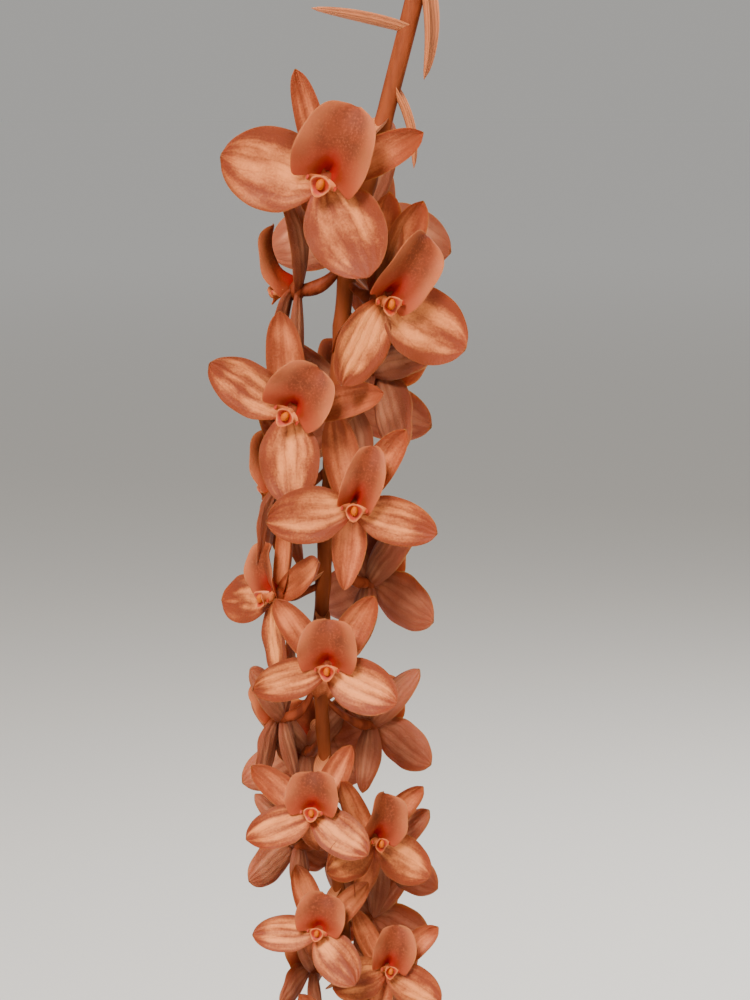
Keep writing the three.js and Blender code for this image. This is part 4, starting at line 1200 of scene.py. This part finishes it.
# A strap leaf on a channelled stalk: its middle line rises, arches over and sinks.
def addLeaf(skin, foot, spec, number):
    outward = outwards(spec["turn"] + 90)
    side = outwards(spec["turn"] + 180)
    climb = lambda share: np.radians(spec["rise"] - spec["sag"] * share ** leafShape["bend"])
    stride = (spec["length"] - leafShape["shorter"]) / leafShape["steps"]
    line = [np.array(foot, dtype=float)]
    for k in range(1, leafShape["steps"] + 1):
        angle = climb(k / leafShape["steps"])
        line.append(line[-1] + stride * (outward * math.cos(angle) + upwards * math.sin(angle)))
    t = np.linspace(0, 1, leafShape["rows"])
    s = np.linspace(-1, 1, leafShape["columns"])
    angle = climb(t)[:, None]
    top = np.cross(np.cos(angle) * outward + np.sin(angle) * upwards, side)
    middle = np.array([splinePoint(line, share) for share in t])

    # the blade widens out of its stalk, opens from a channel and narrows to its tip
    bladeShare = np.clip((t - leafShape["petiole"]) / (1 - leafShape["petiole"]), 0, 1)
    swell = np.maximum(np.sin(math.pi * bladeShare ** 0.8), 0) ** 0.72
    stalked = leafShape["petioleWidth"] ** 3 * (1 - bladeShare ** 6)
    half = (stalked + (spec["width"] * swell) ** 3) ** (1 / 3) / 2
    half[-1] = leafShape["tipWidth"] / 2
    opening = smooth(0, 0.25, bladeShare)
    fold = mix(leafShape["petioleFold"], leafShape["fold"], opening)
    bent = np.sqrt(s ** 2 + 0.012) - 0.11
    phase = leafShape["waveCount"] * t[:, None] + 0.25 * np.sign(s) + wobble(number, 3)
    lift = fold[:, None] * half[:, None] * bent
    lift = lift + leafShape["waves"] * np.sin(2 * math.pi * phase) * np.abs(s) ** 2 * swell[:, None]
    centre = bladeSurface(middle, half, s, side, lift, top)
    deep = mix(leafShape["petioleThick"], leafShape["thick"], opening) / 2
    deep = deep * np.clip((1.005 - t) / 0.06, 0, 1) ** 0.5
    over = 0.8 * deep[:, None] * np.sqrt(np.clip(1 - s ** 6, 0, 1))
    under = over * (1 + leafShape["keel"] * np.exp(-((s / 0.09) ** 2)) * (1 - 0.5 * t[:, None]))
    front = centre + over[..., None] * top[:, None, :]
    back = centre - under[..., None] * top[:, None, :]
    addBlade(skin, front, back, placeMarks((s + 1) / 2, t), 0)


# A thin sheath wrapped round an axis. Its mouth is cut at another height on each side.
def addSheath(skin, foot, axis, radiusAt, low, topAt, wall, sides=40, rows=9):
    angles = roundAngles(sides)
    ring = ringOf(angles, *squareTo(axis, rightwards))
    tops = topAt(angles)

    def sheet(inset, share):
        heights = mix(low, tops, share)
        radius = np.maximum(radiusAt(heights, angles) - inset, 0.2)
        return foot + heights[:, None] * axis + radius[:, None] * ring

    shares = np.linspace(0, 1, rows)
    sheets = [sheet(0.0, share) for share in shares] + [sheet(wall, share) for share in shares[::-1]]
    marks = placeMarks(np.abs(angles / math.pi - 1), np.concatenate([shares, shares[::-1]]))
    grid = addPoints(skin, np.array(sheets), marks)
    grid = np.vstack([grid, grid[:1]])
    addGrid(skin, np.hstack([grid, grid[:, :1]]), 0)


# The pseudobulbs along the rhizome, oldest first. Each carries one leaf.
bulbNames = ("at", "height", "radius", "tilt", "turn", "length", "rise", "sag")
clump = {
    "bulbs": [dict(zip(bulbNames, row)) for row in (
        ((33, 9), 44, 7.2, 17, 8, 205, 74, 118),
        ((22, -12), 48, 7.6, 14, -48, 225, 77, 112),
        ((13, 15), 50, 7.8, 13, 58, 232, 78, 108),
        ((1, -11), 53, 8, 10, -88, 226, 80, 104),
        ((-7, 12), 55, 8, 11, 98, 238, 80, 104),
        ((11, 0), 58, 7.6, 5, -12, 245, 84, 96),
    )],
    "middle": 8,
    "ground": 84.5,
    "outline": [(0, 0.5), (0.08, 0.78), (0.18, 0.94), (0.32, 0.99), (0.45, 0.94), (0.6, 0.8), (0.75, 0.62),
                (0.9, 0.42), (1, 0.28)],
    "sides": 32,
    "rings": 28,
    "ribs": (0.045, 0.012),
    "sheaths": [(1.0, 0.0), (0.72, 0.07), (0.4, 0.12)],  # the share of their height, and their spare girth
    "sheathFoot": 0.02,
    "sheathTop": 0.43,
    "sheathLeast": 0.07,
    "sheathGirth": 1.09,
    "sheathTear": 0.16,
    "sheathWall": 0.45,
    "sheathSides": 56,
}


def bulbAxis(spec):
    outward = math.atan2(spec["at"][1], spec["at"][0] - clump["middle"])
    tilt = math.radians(spec["tilt"])
    return np.array([math.sin(tilt) * math.cos(outward), math.sin(tilt) * math.sin(outward), math.cos(tilt)])


# A pseudobulb's radius at heights over its foot, without its ribs
def bulbRadius(spec, heights):
    shares, girths = zip(*clump["outline"])
    return spec["radius"] * np.interp(heights / spec["height"], shares, girths)


# One papery sheath of a pseudobulb, torn round its mouth and split down one side
def addOldSheath(skin, foot, axis, spec, number, k):
    top, spare = clump["sheaths"][k]

    def torn(angles):
        teeth = np.sin(9 * angles + number + k) * 0.35 + np.sin(17 * angles + 3 * number) * 0.2
        rip = 1 - 0.9 * np.exp(-((np.cos((angles - 2 * number - 2 * k) / 2) / 0.16) ** 2))
        tear = clump["sheathTear"] * 0.5 * (np.cos(2 * angles + number) * 0.5 + teeth)
        return spec["height"] * np.maximum((clump["sheathTop"] * top + tear) * rip, clump["sheathLeast"])

    def wrapped(heights, angles):
        loose = 1 + 0.05 * smooth(0.2, 0.45, heights / spec["height"]) * np.cos(5 * angles + number)
        return bulbRadius(spec, heights) * (clump["sheathGirth"] + spare) * loose

    foothold = spec["height"] * clump["sheathFoot"]
    addSheath(skin, foot, axis, wrapped, foothold, torn, clump["sheathWall"], sides=clump["sheathSides"])


def makeBulb(number, spec):
    foot = np.array([*spec["at"], clump["ground"]], dtype=float)
    axis = bulbAxis(spec)
    broad, fine = clump["ribs"]

    def body(t, angles):
        ribs = 1 + broad * np.cos(4 * angles + number) + fine * np.cos(15 * angles + 2 * number)
        return bulbRadius(spec, t * spec["height"]) * ribs

    skin = newSkin()
    centres = [foot + axis * spec["height"] * t for t in np.linspace(0, 1, clump["rings"])]
    addTube(skin, centres, body, clump["sides"], 0, rightwards)
    makePiece(f"bulb_{number + 1}", skin, [bulbGreen], [f"pseudobulb_{number + 1}"])

    skin = newSkin()
    for k in range(len(clump["sheaths"])):
        addOldSheath(skin, foot, axis, spec, number, k)
    makePiece(f"sheath_{number + 1}", skin, [sheathPaper])

    skin = newSkin()
    apex = foot + axis * (spec["height"] + 0.3)
    addLeaf(skin, apex, {**spec, "width": leafShape["width"]}, number)
    makePiece(f"leafBlade_{number + 1}", skin, [matureLeaf], [f"leaf_{number + 1}"])


for number, spec in enumerate(clump["bulbs"]):
    makeBulb(number, spec)

shoot = {
    "foot": (-22, -3.5, 84.5),
    "height": 62.0,
    "tip": 0.17,
    "wall": 0.5,
    "core": {"height": 46.0, "foot": 4.6, "top": 2.6, "rings": 8, "sides": 20},
    "sheaths": [
        {"low": 0.0, "high": 0.34, "radius": 7.1, "pointed": 0.4},
        {"low": 0.02, "high": 0.6, "radius": 6.2, "pointed": 3.4},
        {"low": 0.04, "high": 0.83, "radius": 5.6, "pointed": 1.2},
    ],
}
youngLeaf = {"foot": (-19.4, -1.6, 128), "turn": 72, "length": 128, "width": 19, "rise": 84, "sag": 34}


# One sheath of the shoot: its mouth rises to a point on one side, and closes in there
def addShootSheath(skin, foot, spec):
    rise = lambda angles: (0.5 + 0.5 * np.cos(angles - spec["pointed"])) ** 2
    mouth = lambda angles: shoot["height"] * (spec["high"] + shoot["tip"] * rise(angles))

    def wrapped(heights, angles):
        share = heights / shoot["height"]
        closing = 1 - 0.3 * rise(angles) * smooth(spec["high"], spec["high"] + shoot["tip"], share)
        swelling = 0.86 + 0.14 * smooth(spec["low"], spec["low"] + 0.12, share)
        return spec["radius"] * swelling * closing * (1 + 0.02 * np.cos(11 * angles))

    addSheath(skin, foot, upwards, wrapped, spec["low"] * shoot["height"], mouth, shoot["wall"], rows=16)


# The new shoot: sheaths wrapped one inside another round the young leaf's stalk
def makeShoot():
    skin = newSkin()
    foot = np.array(shoot["foot"])
    for spec in shoot["sheaths"]:
        addShootSheath(skin, foot, spec)
    core = shoot["core"]
    centres = [foot + upwards * z for z in np.linspace(0, core["height"], core["rings"])]
    shape = lambda t, angles: mix(core["foot"], core["top"], t) + 0 * angles
    addTube(skin, centres, shape, core["sides"], 0, rightwards)
    makePiece("shoot", skin, [shootPaper], ["new_shoot"])
    skin = newSkin()
    addLeaf(skin, youngLeaf["foot"], youngLeaf, 7)
    makePiece("youngBlade", skin, [youngSkin], ["young_leaf"])


makeShoot()
print("leaves, pseudobulbs and shoot made")


# The pot and what it holds

# Roots have a dry, chalky coat over a buff core. The rhizome wears the rings of old bracts.
def rootCoat():
    material, tree, shader = newFinish("rootCoat", Roughness=0.85)
    tint = layer(tree, colour("#7f6a48"), colour("#c3b591"), mottle(tree, 3.0, 5.0), 0.35, 0.65)
    dress(tree, shader, tint, mottle(tree, 0.8, 4.0), 0.25, 0.6)
    return material


rhizome = {
    "radius": 3.1,
    "branch": 2.6,
    "height": 84.5,
    "line": [(33, 9), (22, 1), (10, -1), (-4, 1), (-22, -3.5)],
    "rings": 4.2,  # millimetres between two ring scars
    "roots": 5,
    "rootDepth": 52.0,
    "rootSpread": 10.0,
    "rootRadius": 1.3,
    "sides": 18,
    "steps": 120,
    "branchSteps": 24,
}
goldenAngle = math.pi * (3 - math.sqrt(5))


# Radii along a line of points, each ring scar a small step
def ringed(points, radius):
    gaps = [np.linalg.norm(b - a) for a, b in zip(points[:-1], points[1:])]
    place = np.concatenate([[0], np.cumsum(gaps)]) / rhizome["rings"] % 1
    return radius * (0.93 + 0.09 * place ** 3)


def makeRhizome():
    line = [np.array([x, y, rhizome["height"]], dtype=float) for x, y in rhizome["line"]]
    main = [splinePoint(line, share) for share in np.linspace(0, 1, rhizome["steps"])]
    steps = np.linspace(0, 1, rhizome["branchSteps"])
    routes = [(main, ringed(main, rhizome["radius"]))]
    for spec in clump["bulbs"]:
        foot = np.array([*spec["at"], rhizome["height"]], dtype=float)
        start = min(main, key=lambda p: np.linalg.norm(p - foot))
        if np.linalg.norm(start - foot) >= rhizome["radius"]:
            branch = [mix(start, foot, share) for share in steps]
            routes.append((branch, ringed(branch, rhizome["branch"])))
    for n in range(rhizome["roots"]):
        root = splinePoint(line, (n + 0.5) / rhizome["roots"])
        turn = goldenAngle * n
        away = rhizome["rootSpread"] * np.array([math.cos(turn), math.sin(turn), 0.0])
        bend = root + away * 0.7 - upwards * 0.2 * rhizome["rootDepth"]
        end = root + away - upwards * rhizome["rootDepth"]
        curve = [bowPoint(root, bend, end, t) for t in steps]
        routes.append((curve, rhizome["rootRadius"] * (1 - 0.4 * steps)))
    piece = makeTubes("rhizomeAndRoots", routes, rhizome["sides"], rootCoat())
    finishPiece(piece, ["rhizome_and_roots"])


makeRhizome()


# Orchid bark: split chips of conifer bark, dark and corky on one side, with redder broken edges
def corkyBark():
    material, tree, shader = newFinish("corkyBark", Roughness=0.92)
    plates = layer(tree, colour("#452a1a"), colour("#7b4e31"), mottle(tree, 5.0, 6.0), 0.36, 0.68)
    dusty = layer(tree, plates, colour("#9c7350"), mottle(tree, 1.2, 5.0, (1, 1, 3)), 0.56, 0.74, 0.7)
    dress(tree, shader, dusty, mottle(tree, 1.6, 6.0, (1, 1, 2)), 0.9, 0.8)
    return material


bark = {
    "top": 82.0,
    "sunk": 2.5,
    "mound": 1.6,
    "bumps": 0.5,
    "bedRadius": 51.0,
    "bedFoot": (0.72, 7.0),  # its underside's share of that radius, and its height
    "rings": 22,
    "sides": 72,
    "spread": 44.0,
    "spreadRings": 7,
    "spacing": 7.5,
    "crowd": 60000.0,  # chips to a square metre, before their spacing
    "chip": (16.5, 10.5, 6.2),  # before a chip's own size
    "sizes": (0.62, 1.25),
    "tilt": 0.55,  # radians
    "rough": 2.8,
    "ridges": 7.0,
    "seed": 7,
    "sizeSeed": 3,
}


# A tree that strews chips over its source, each of another size, turn and shape
def chipTree():
    tree, inputs = newTree("chips", {
        "Spacing": "Float",
        "Chip Size": "Vector",
        "Roughness": "Float",
        "Seed": "Int",
        "Finish": "Material",
    })
    strewn = addNode(tree, "GeometryNodeDistributePointsOnFaces", {
        "Mesh": inputs["Geometry"],
        "Distance Min": inputs["Spacing"],
        "Density Max": bark["crowd"],
        "Seed": inputs["Seed"],
    }, distribute_method="POISSON")
    chip = addNode(tree, "GeometryNodeMeshCube", {
        "Size": inputs["Chip Size"],
        "Vertices X": 6,
        "Vertices Y": 5,
        "Vertices Z": 4,
    })
    tilt = bark["tilt"]
    turn = addNode(tree, "FunctionNodeRandomValue", {
        "Min": (-tilt, -tilt, 0.0),
        "Max": (tilt, tilt, 2 * math.pi),
        "Seed": inputs["Seed"],
    }, data_type="FLOAT_VECTOR")
    low, high = bark["sizes"]
    size = addNode(tree, "FunctionNodeRandomValue", {
        "Min": (low, low, low),
        "Max": (high, high, high),
        "Seed": bark["sizeSeed"],
    }, data_type="FLOAT_VECTOR")
    placed = addNode(tree, "GeometryNodeInstanceOnPoints", {
        "Points": strewn,
        "Instance": chip.outputs["Mesh"],
        "Rotation": turn,
        "Scale": size,
    })
    plain = addNode(tree, "GeometryNodeRealizeInstances", {"Geometry": placed})
    ridges = addNode(tree, "ShaderNodeTexNoise", {"Scale": metre / bark["ridges"], "Detail": 4.0})
    around = {0: ridges.outputs["Color"], 1: (0.5, 0.5, 0.5)}
    centred = addNode(tree, "ShaderNodeVectorMath", around, operation="SUBTRACT")
    offset = {0: centred, "Scale": inputs["Roughness"]}
    push = addNode(tree, "ShaderNodeVectorMath", offset, operation="SCALE")
    worn = addNode(tree, "GeometryNodeSetPosition", {"Geometry": plain, "Offset": push})
    endTree(tree, worn, inputs["Finish"])
    return tree


def makeBark():
    finish = corkyBark()
    angles = roundAngles(bark["sides"])
    level = ringOf(angles, rightwards, rearwards)
    rings = []
    for reach in np.linspace(0.3, bark["bedRadius"], bark["rings"]):
        bumps = np.sin(reach * 0.7 + 3 * angles) + np.sin(reach * 0.35 - 5 * angles)
        mound = bark["mound"] * (1 - (reach / bark["bedRadius"]) ** 2)
        height = bark["top"] - bark["sunk"] + mound + bark["bumps"] * bumps
        rings.append(reach * level + height[:, None] * upwards)
    share, foot = bark["bedFoot"]
    rings.append(share * bark["bedRadius"] * level + foot * upwards)
    skin = newSkin()
    grid = addPoints(skin, np.array(rings), np.zeros((len(rings), bark["sides"], 2)))
    addGrid(skin, np.hstack([grid, grid[:, :1]]), 0)
    addFace(skin, list(grid[0]), 0)
    addFace(skin, list(grid[-1][::-1]), 0)
    makePiece("barkBed", skin, [finish], ["bark"])

    # chips lie all over a disc on the bed
    points = [upwards * bark["top"]]
    for k in range(1, bark["spreadRings"] + 1):
        points += list(k / bark["spreadRings"] * bark["spread"] * level + upwards * bark["top"])
    faces = []
    count = bark["sides"]
    for n in range(count):
        after = (n + 1) % count
        faces.append((0, 1 + n, 1 + after))
        for k in range(1, bark["spreadRings"]):
            low, high = 1 + (k - 1) * count, 1 + k * count
            faces.append((low + n, high + n, high + after, low + after))
    chips = grow("barkChips", newSource("strewnArea", points, [], faces, {}), chipTree(), {
        "Spacing": bark["spacing"] / metre,
        "Chip Size": tuple(length / metre for length in bark["chip"]),
        "Roughness": bark["rough"] / metre,
        "Seed": bark["seed"],
        "Finish": finish,
    })
    finishPiece(chips, sharpest=35)


makeBark()


# Fired clay, turned on a wheel: dull and porous, darker where damp, with chalky salts at its ledge and foot
clayLook = {
    "dark": "#a25739",
    "light": "#c27a57",
    "specks": "#8c4429",
    "salts": "#cdb39b",
    "stray": 90.0,  # the salts' own unevenness, which lies on top of the height
    "foot": (70.0, 35.0),
    "ledge": 127.0,
    "ledgeReach": 16.0,
    "rings": 1.1,
}


def terracotta(look):
    material, tree, shader = newFinish("terracotta", Roughness=0.88)
    fired = layer(tree, colour(look["dark"]), colour(look["light"]), mottle(tree, 22.0, 5.0), 0.35, 0.68)
    specks = layer(tree, fired, colour(look["specks"]), mottle(tree, 1.4, 2.0), 0.64, 0.74, 0.6)
    place = addNode(tree, "ShaderNodeTexCoord").outputs["Object"]
    height = addNode(tree, "ShaderNodeSeparateXYZ", {"Vector": place}).outputs["Z"]
    drift = {0: mottle(tree, 6.0, 7.0), 1: look["stray"] / metre, 2: height}
    strayed = addNode(tree, "ShaderNodeMath", drift, operation="MULTIPLY_ADD")
    high, low = (reach / metre for reach in look["foot"])
    chalky = layer(tree, specks, colour(look["salts"]), strayed, high, low, 0.3)
    ledge = addNode(tree, "ShaderNodeMath", {0: strayed, 1: look["ledge"] / metre}, operation="SUBTRACT")
    nearLedge = addNode(tree, "ShaderNodeMath", {0: ledge}, operation="ABSOLUTE")
    limed = layer(tree, chalky, colour(look["salts"]), nearLedge, look["ledgeReach"] / metre, 0.0, 0.26)
    flat = addNode(tree, "ShaderNodeMapping", {"Vector": place, "Scale": (0.06, 0.06, 1)})
    rings = {"Vector": flat, "Scale": metre / look["rings"], "Detail": 2.0}
    lines = addNode(tree, "ShaderNodeTexNoise", rings)
    pits = {0: mottle(tree, 0.7, 3.0), 1: 0.6, 2: lines}
    relief = addNode(tree, "ShaderNodeMath", pits, operation="MULTIPLY_ADD")
    dress(tree, shader, limed, relief, 0.3, 0.5)
    return material


pot = {
    "height": 105.0,
    "footRadius": 41.0,
    "wall": 4.0,
    "floor": 6.0,
    "flare": 0.195,
    "rimHeight": 25.0,
    "rimStep": 4.2,
    "ridge": 0.12,  # of the throwing rings
    "ridgeTurn": 2.1,  # radians to a millimetre
    "sides": 144,
    "drains": 4,
    "drainRadius": 4.2,
    "drainReach": 23.0,
    "drainSides": 32,
    "corner": 1.3,
    "spacing": 3.0,
}


# Rounds the corners of a profile and adds points along its long stretches
def soften(profile, corner, spacing):
    points = [np.array(p, dtype=float) for p in profile]
    made = [points[0]]
    for before, here, after in zip(points[:-2], points[1:-1], points[2:]):
        reach = min(corner, 0.45 * np.linalg.norm(here - before), 0.45 * np.linalg.norm(after - here))
        start = here + unit(before - here) * reach
        end = here + unit(after - here) * reach
        for t in (0.0, 0.25, 0.5, 0.75, 1.0):
            made.append(bowPoint(start, here, end, t))
    made.append(points[-1])
    fine = [made[0]]
    for point in made[1:]:
        count = max(1, int(np.linalg.norm(point - fine[-1]) / spacing))
        origin = fine[-1]
        fine += [mix(origin, point, (n + 1) / count) for n in range(count)]
    return fine


def makePot():
    clay = terracotta(clayLook)
    outer = lambda z: pot["footRadius"] + pot["flare"] * z
    inner = lambda z: outer(z - pot["floor"]) - pot["wall"]
    rimFoot = pot["height"] - pot["rimHeight"]
    rim = outer(rimFoot) + pot["rimStep"]
    profile = [
        (0.4, 0.0), (pot["footRadius"], 0.0), (outer(rimFoot), rimFoot), (rim, rimFoot + 1.6),
        (rim + 1.6, pot["height"] - 0.2), (inner(pot["height"]) + 0.4, pot["height"]),
        (inner(pot["floor"]), pot["floor"]), (0.4, pot["floor"]),
    ]
    level = ringOf(roundAngles(pot["sides"]), rightwards, rearwards)
    rings = []
    for reach, height in soften(profile, pot["corner"], pot["spacing"]):
        turned = 3 < height < pot["height"] - 2 and reach > 30
        ridge = pot["ridge"] * (math.sin(height * pot["ridgeTurn"]) - 1) if turned else 0
        rings.append((reach + ridge) * level + height * upwards)
    skin = newSkin()
    addRings(skin, rings, np.zeros((len(rings), pot["sides"], 2)), 0)
    body = makePiece("clayPot", skin, [clay])

    skin = newSkin()
    for k in range(pot["drains"]):
        angle = (k + 0.5) * 2 * math.pi / pot["drains"]
        middle = pot["drainReach"] * np.array([math.cos(angle), math.sin(angle), 0.0])
        centres = [middle + upwards * z for z in (-2.0, pot["floor"] + 2.0)]
        shape = lambda t, around: pot["drainRadius"] + 0 * around
        addTube(skin, centres, shape, pot["drainSides"], 0, rightwards)
    drill = makePiece("drainDrill", skin, [clay])
    cut = body.modifiers.new("drains", "BOOLEAN")
    cut.object = drill
    cut.operation = "DIFFERENCE"
    cut.solver = "EXACT"
    graph = bpy.context.evaluated_depsgraph_get()
    bored = bpy.data.meshes.new_from_object(body.evaluated_get(graph), depsgraph=graph)
    body.modifiers.clear()
    body.data = bored
    bpy.data.objects.remove(drill)
    finishPiece(body, ["pot"], sharpest=40)


makePot()
print("pot, bark and roots made")
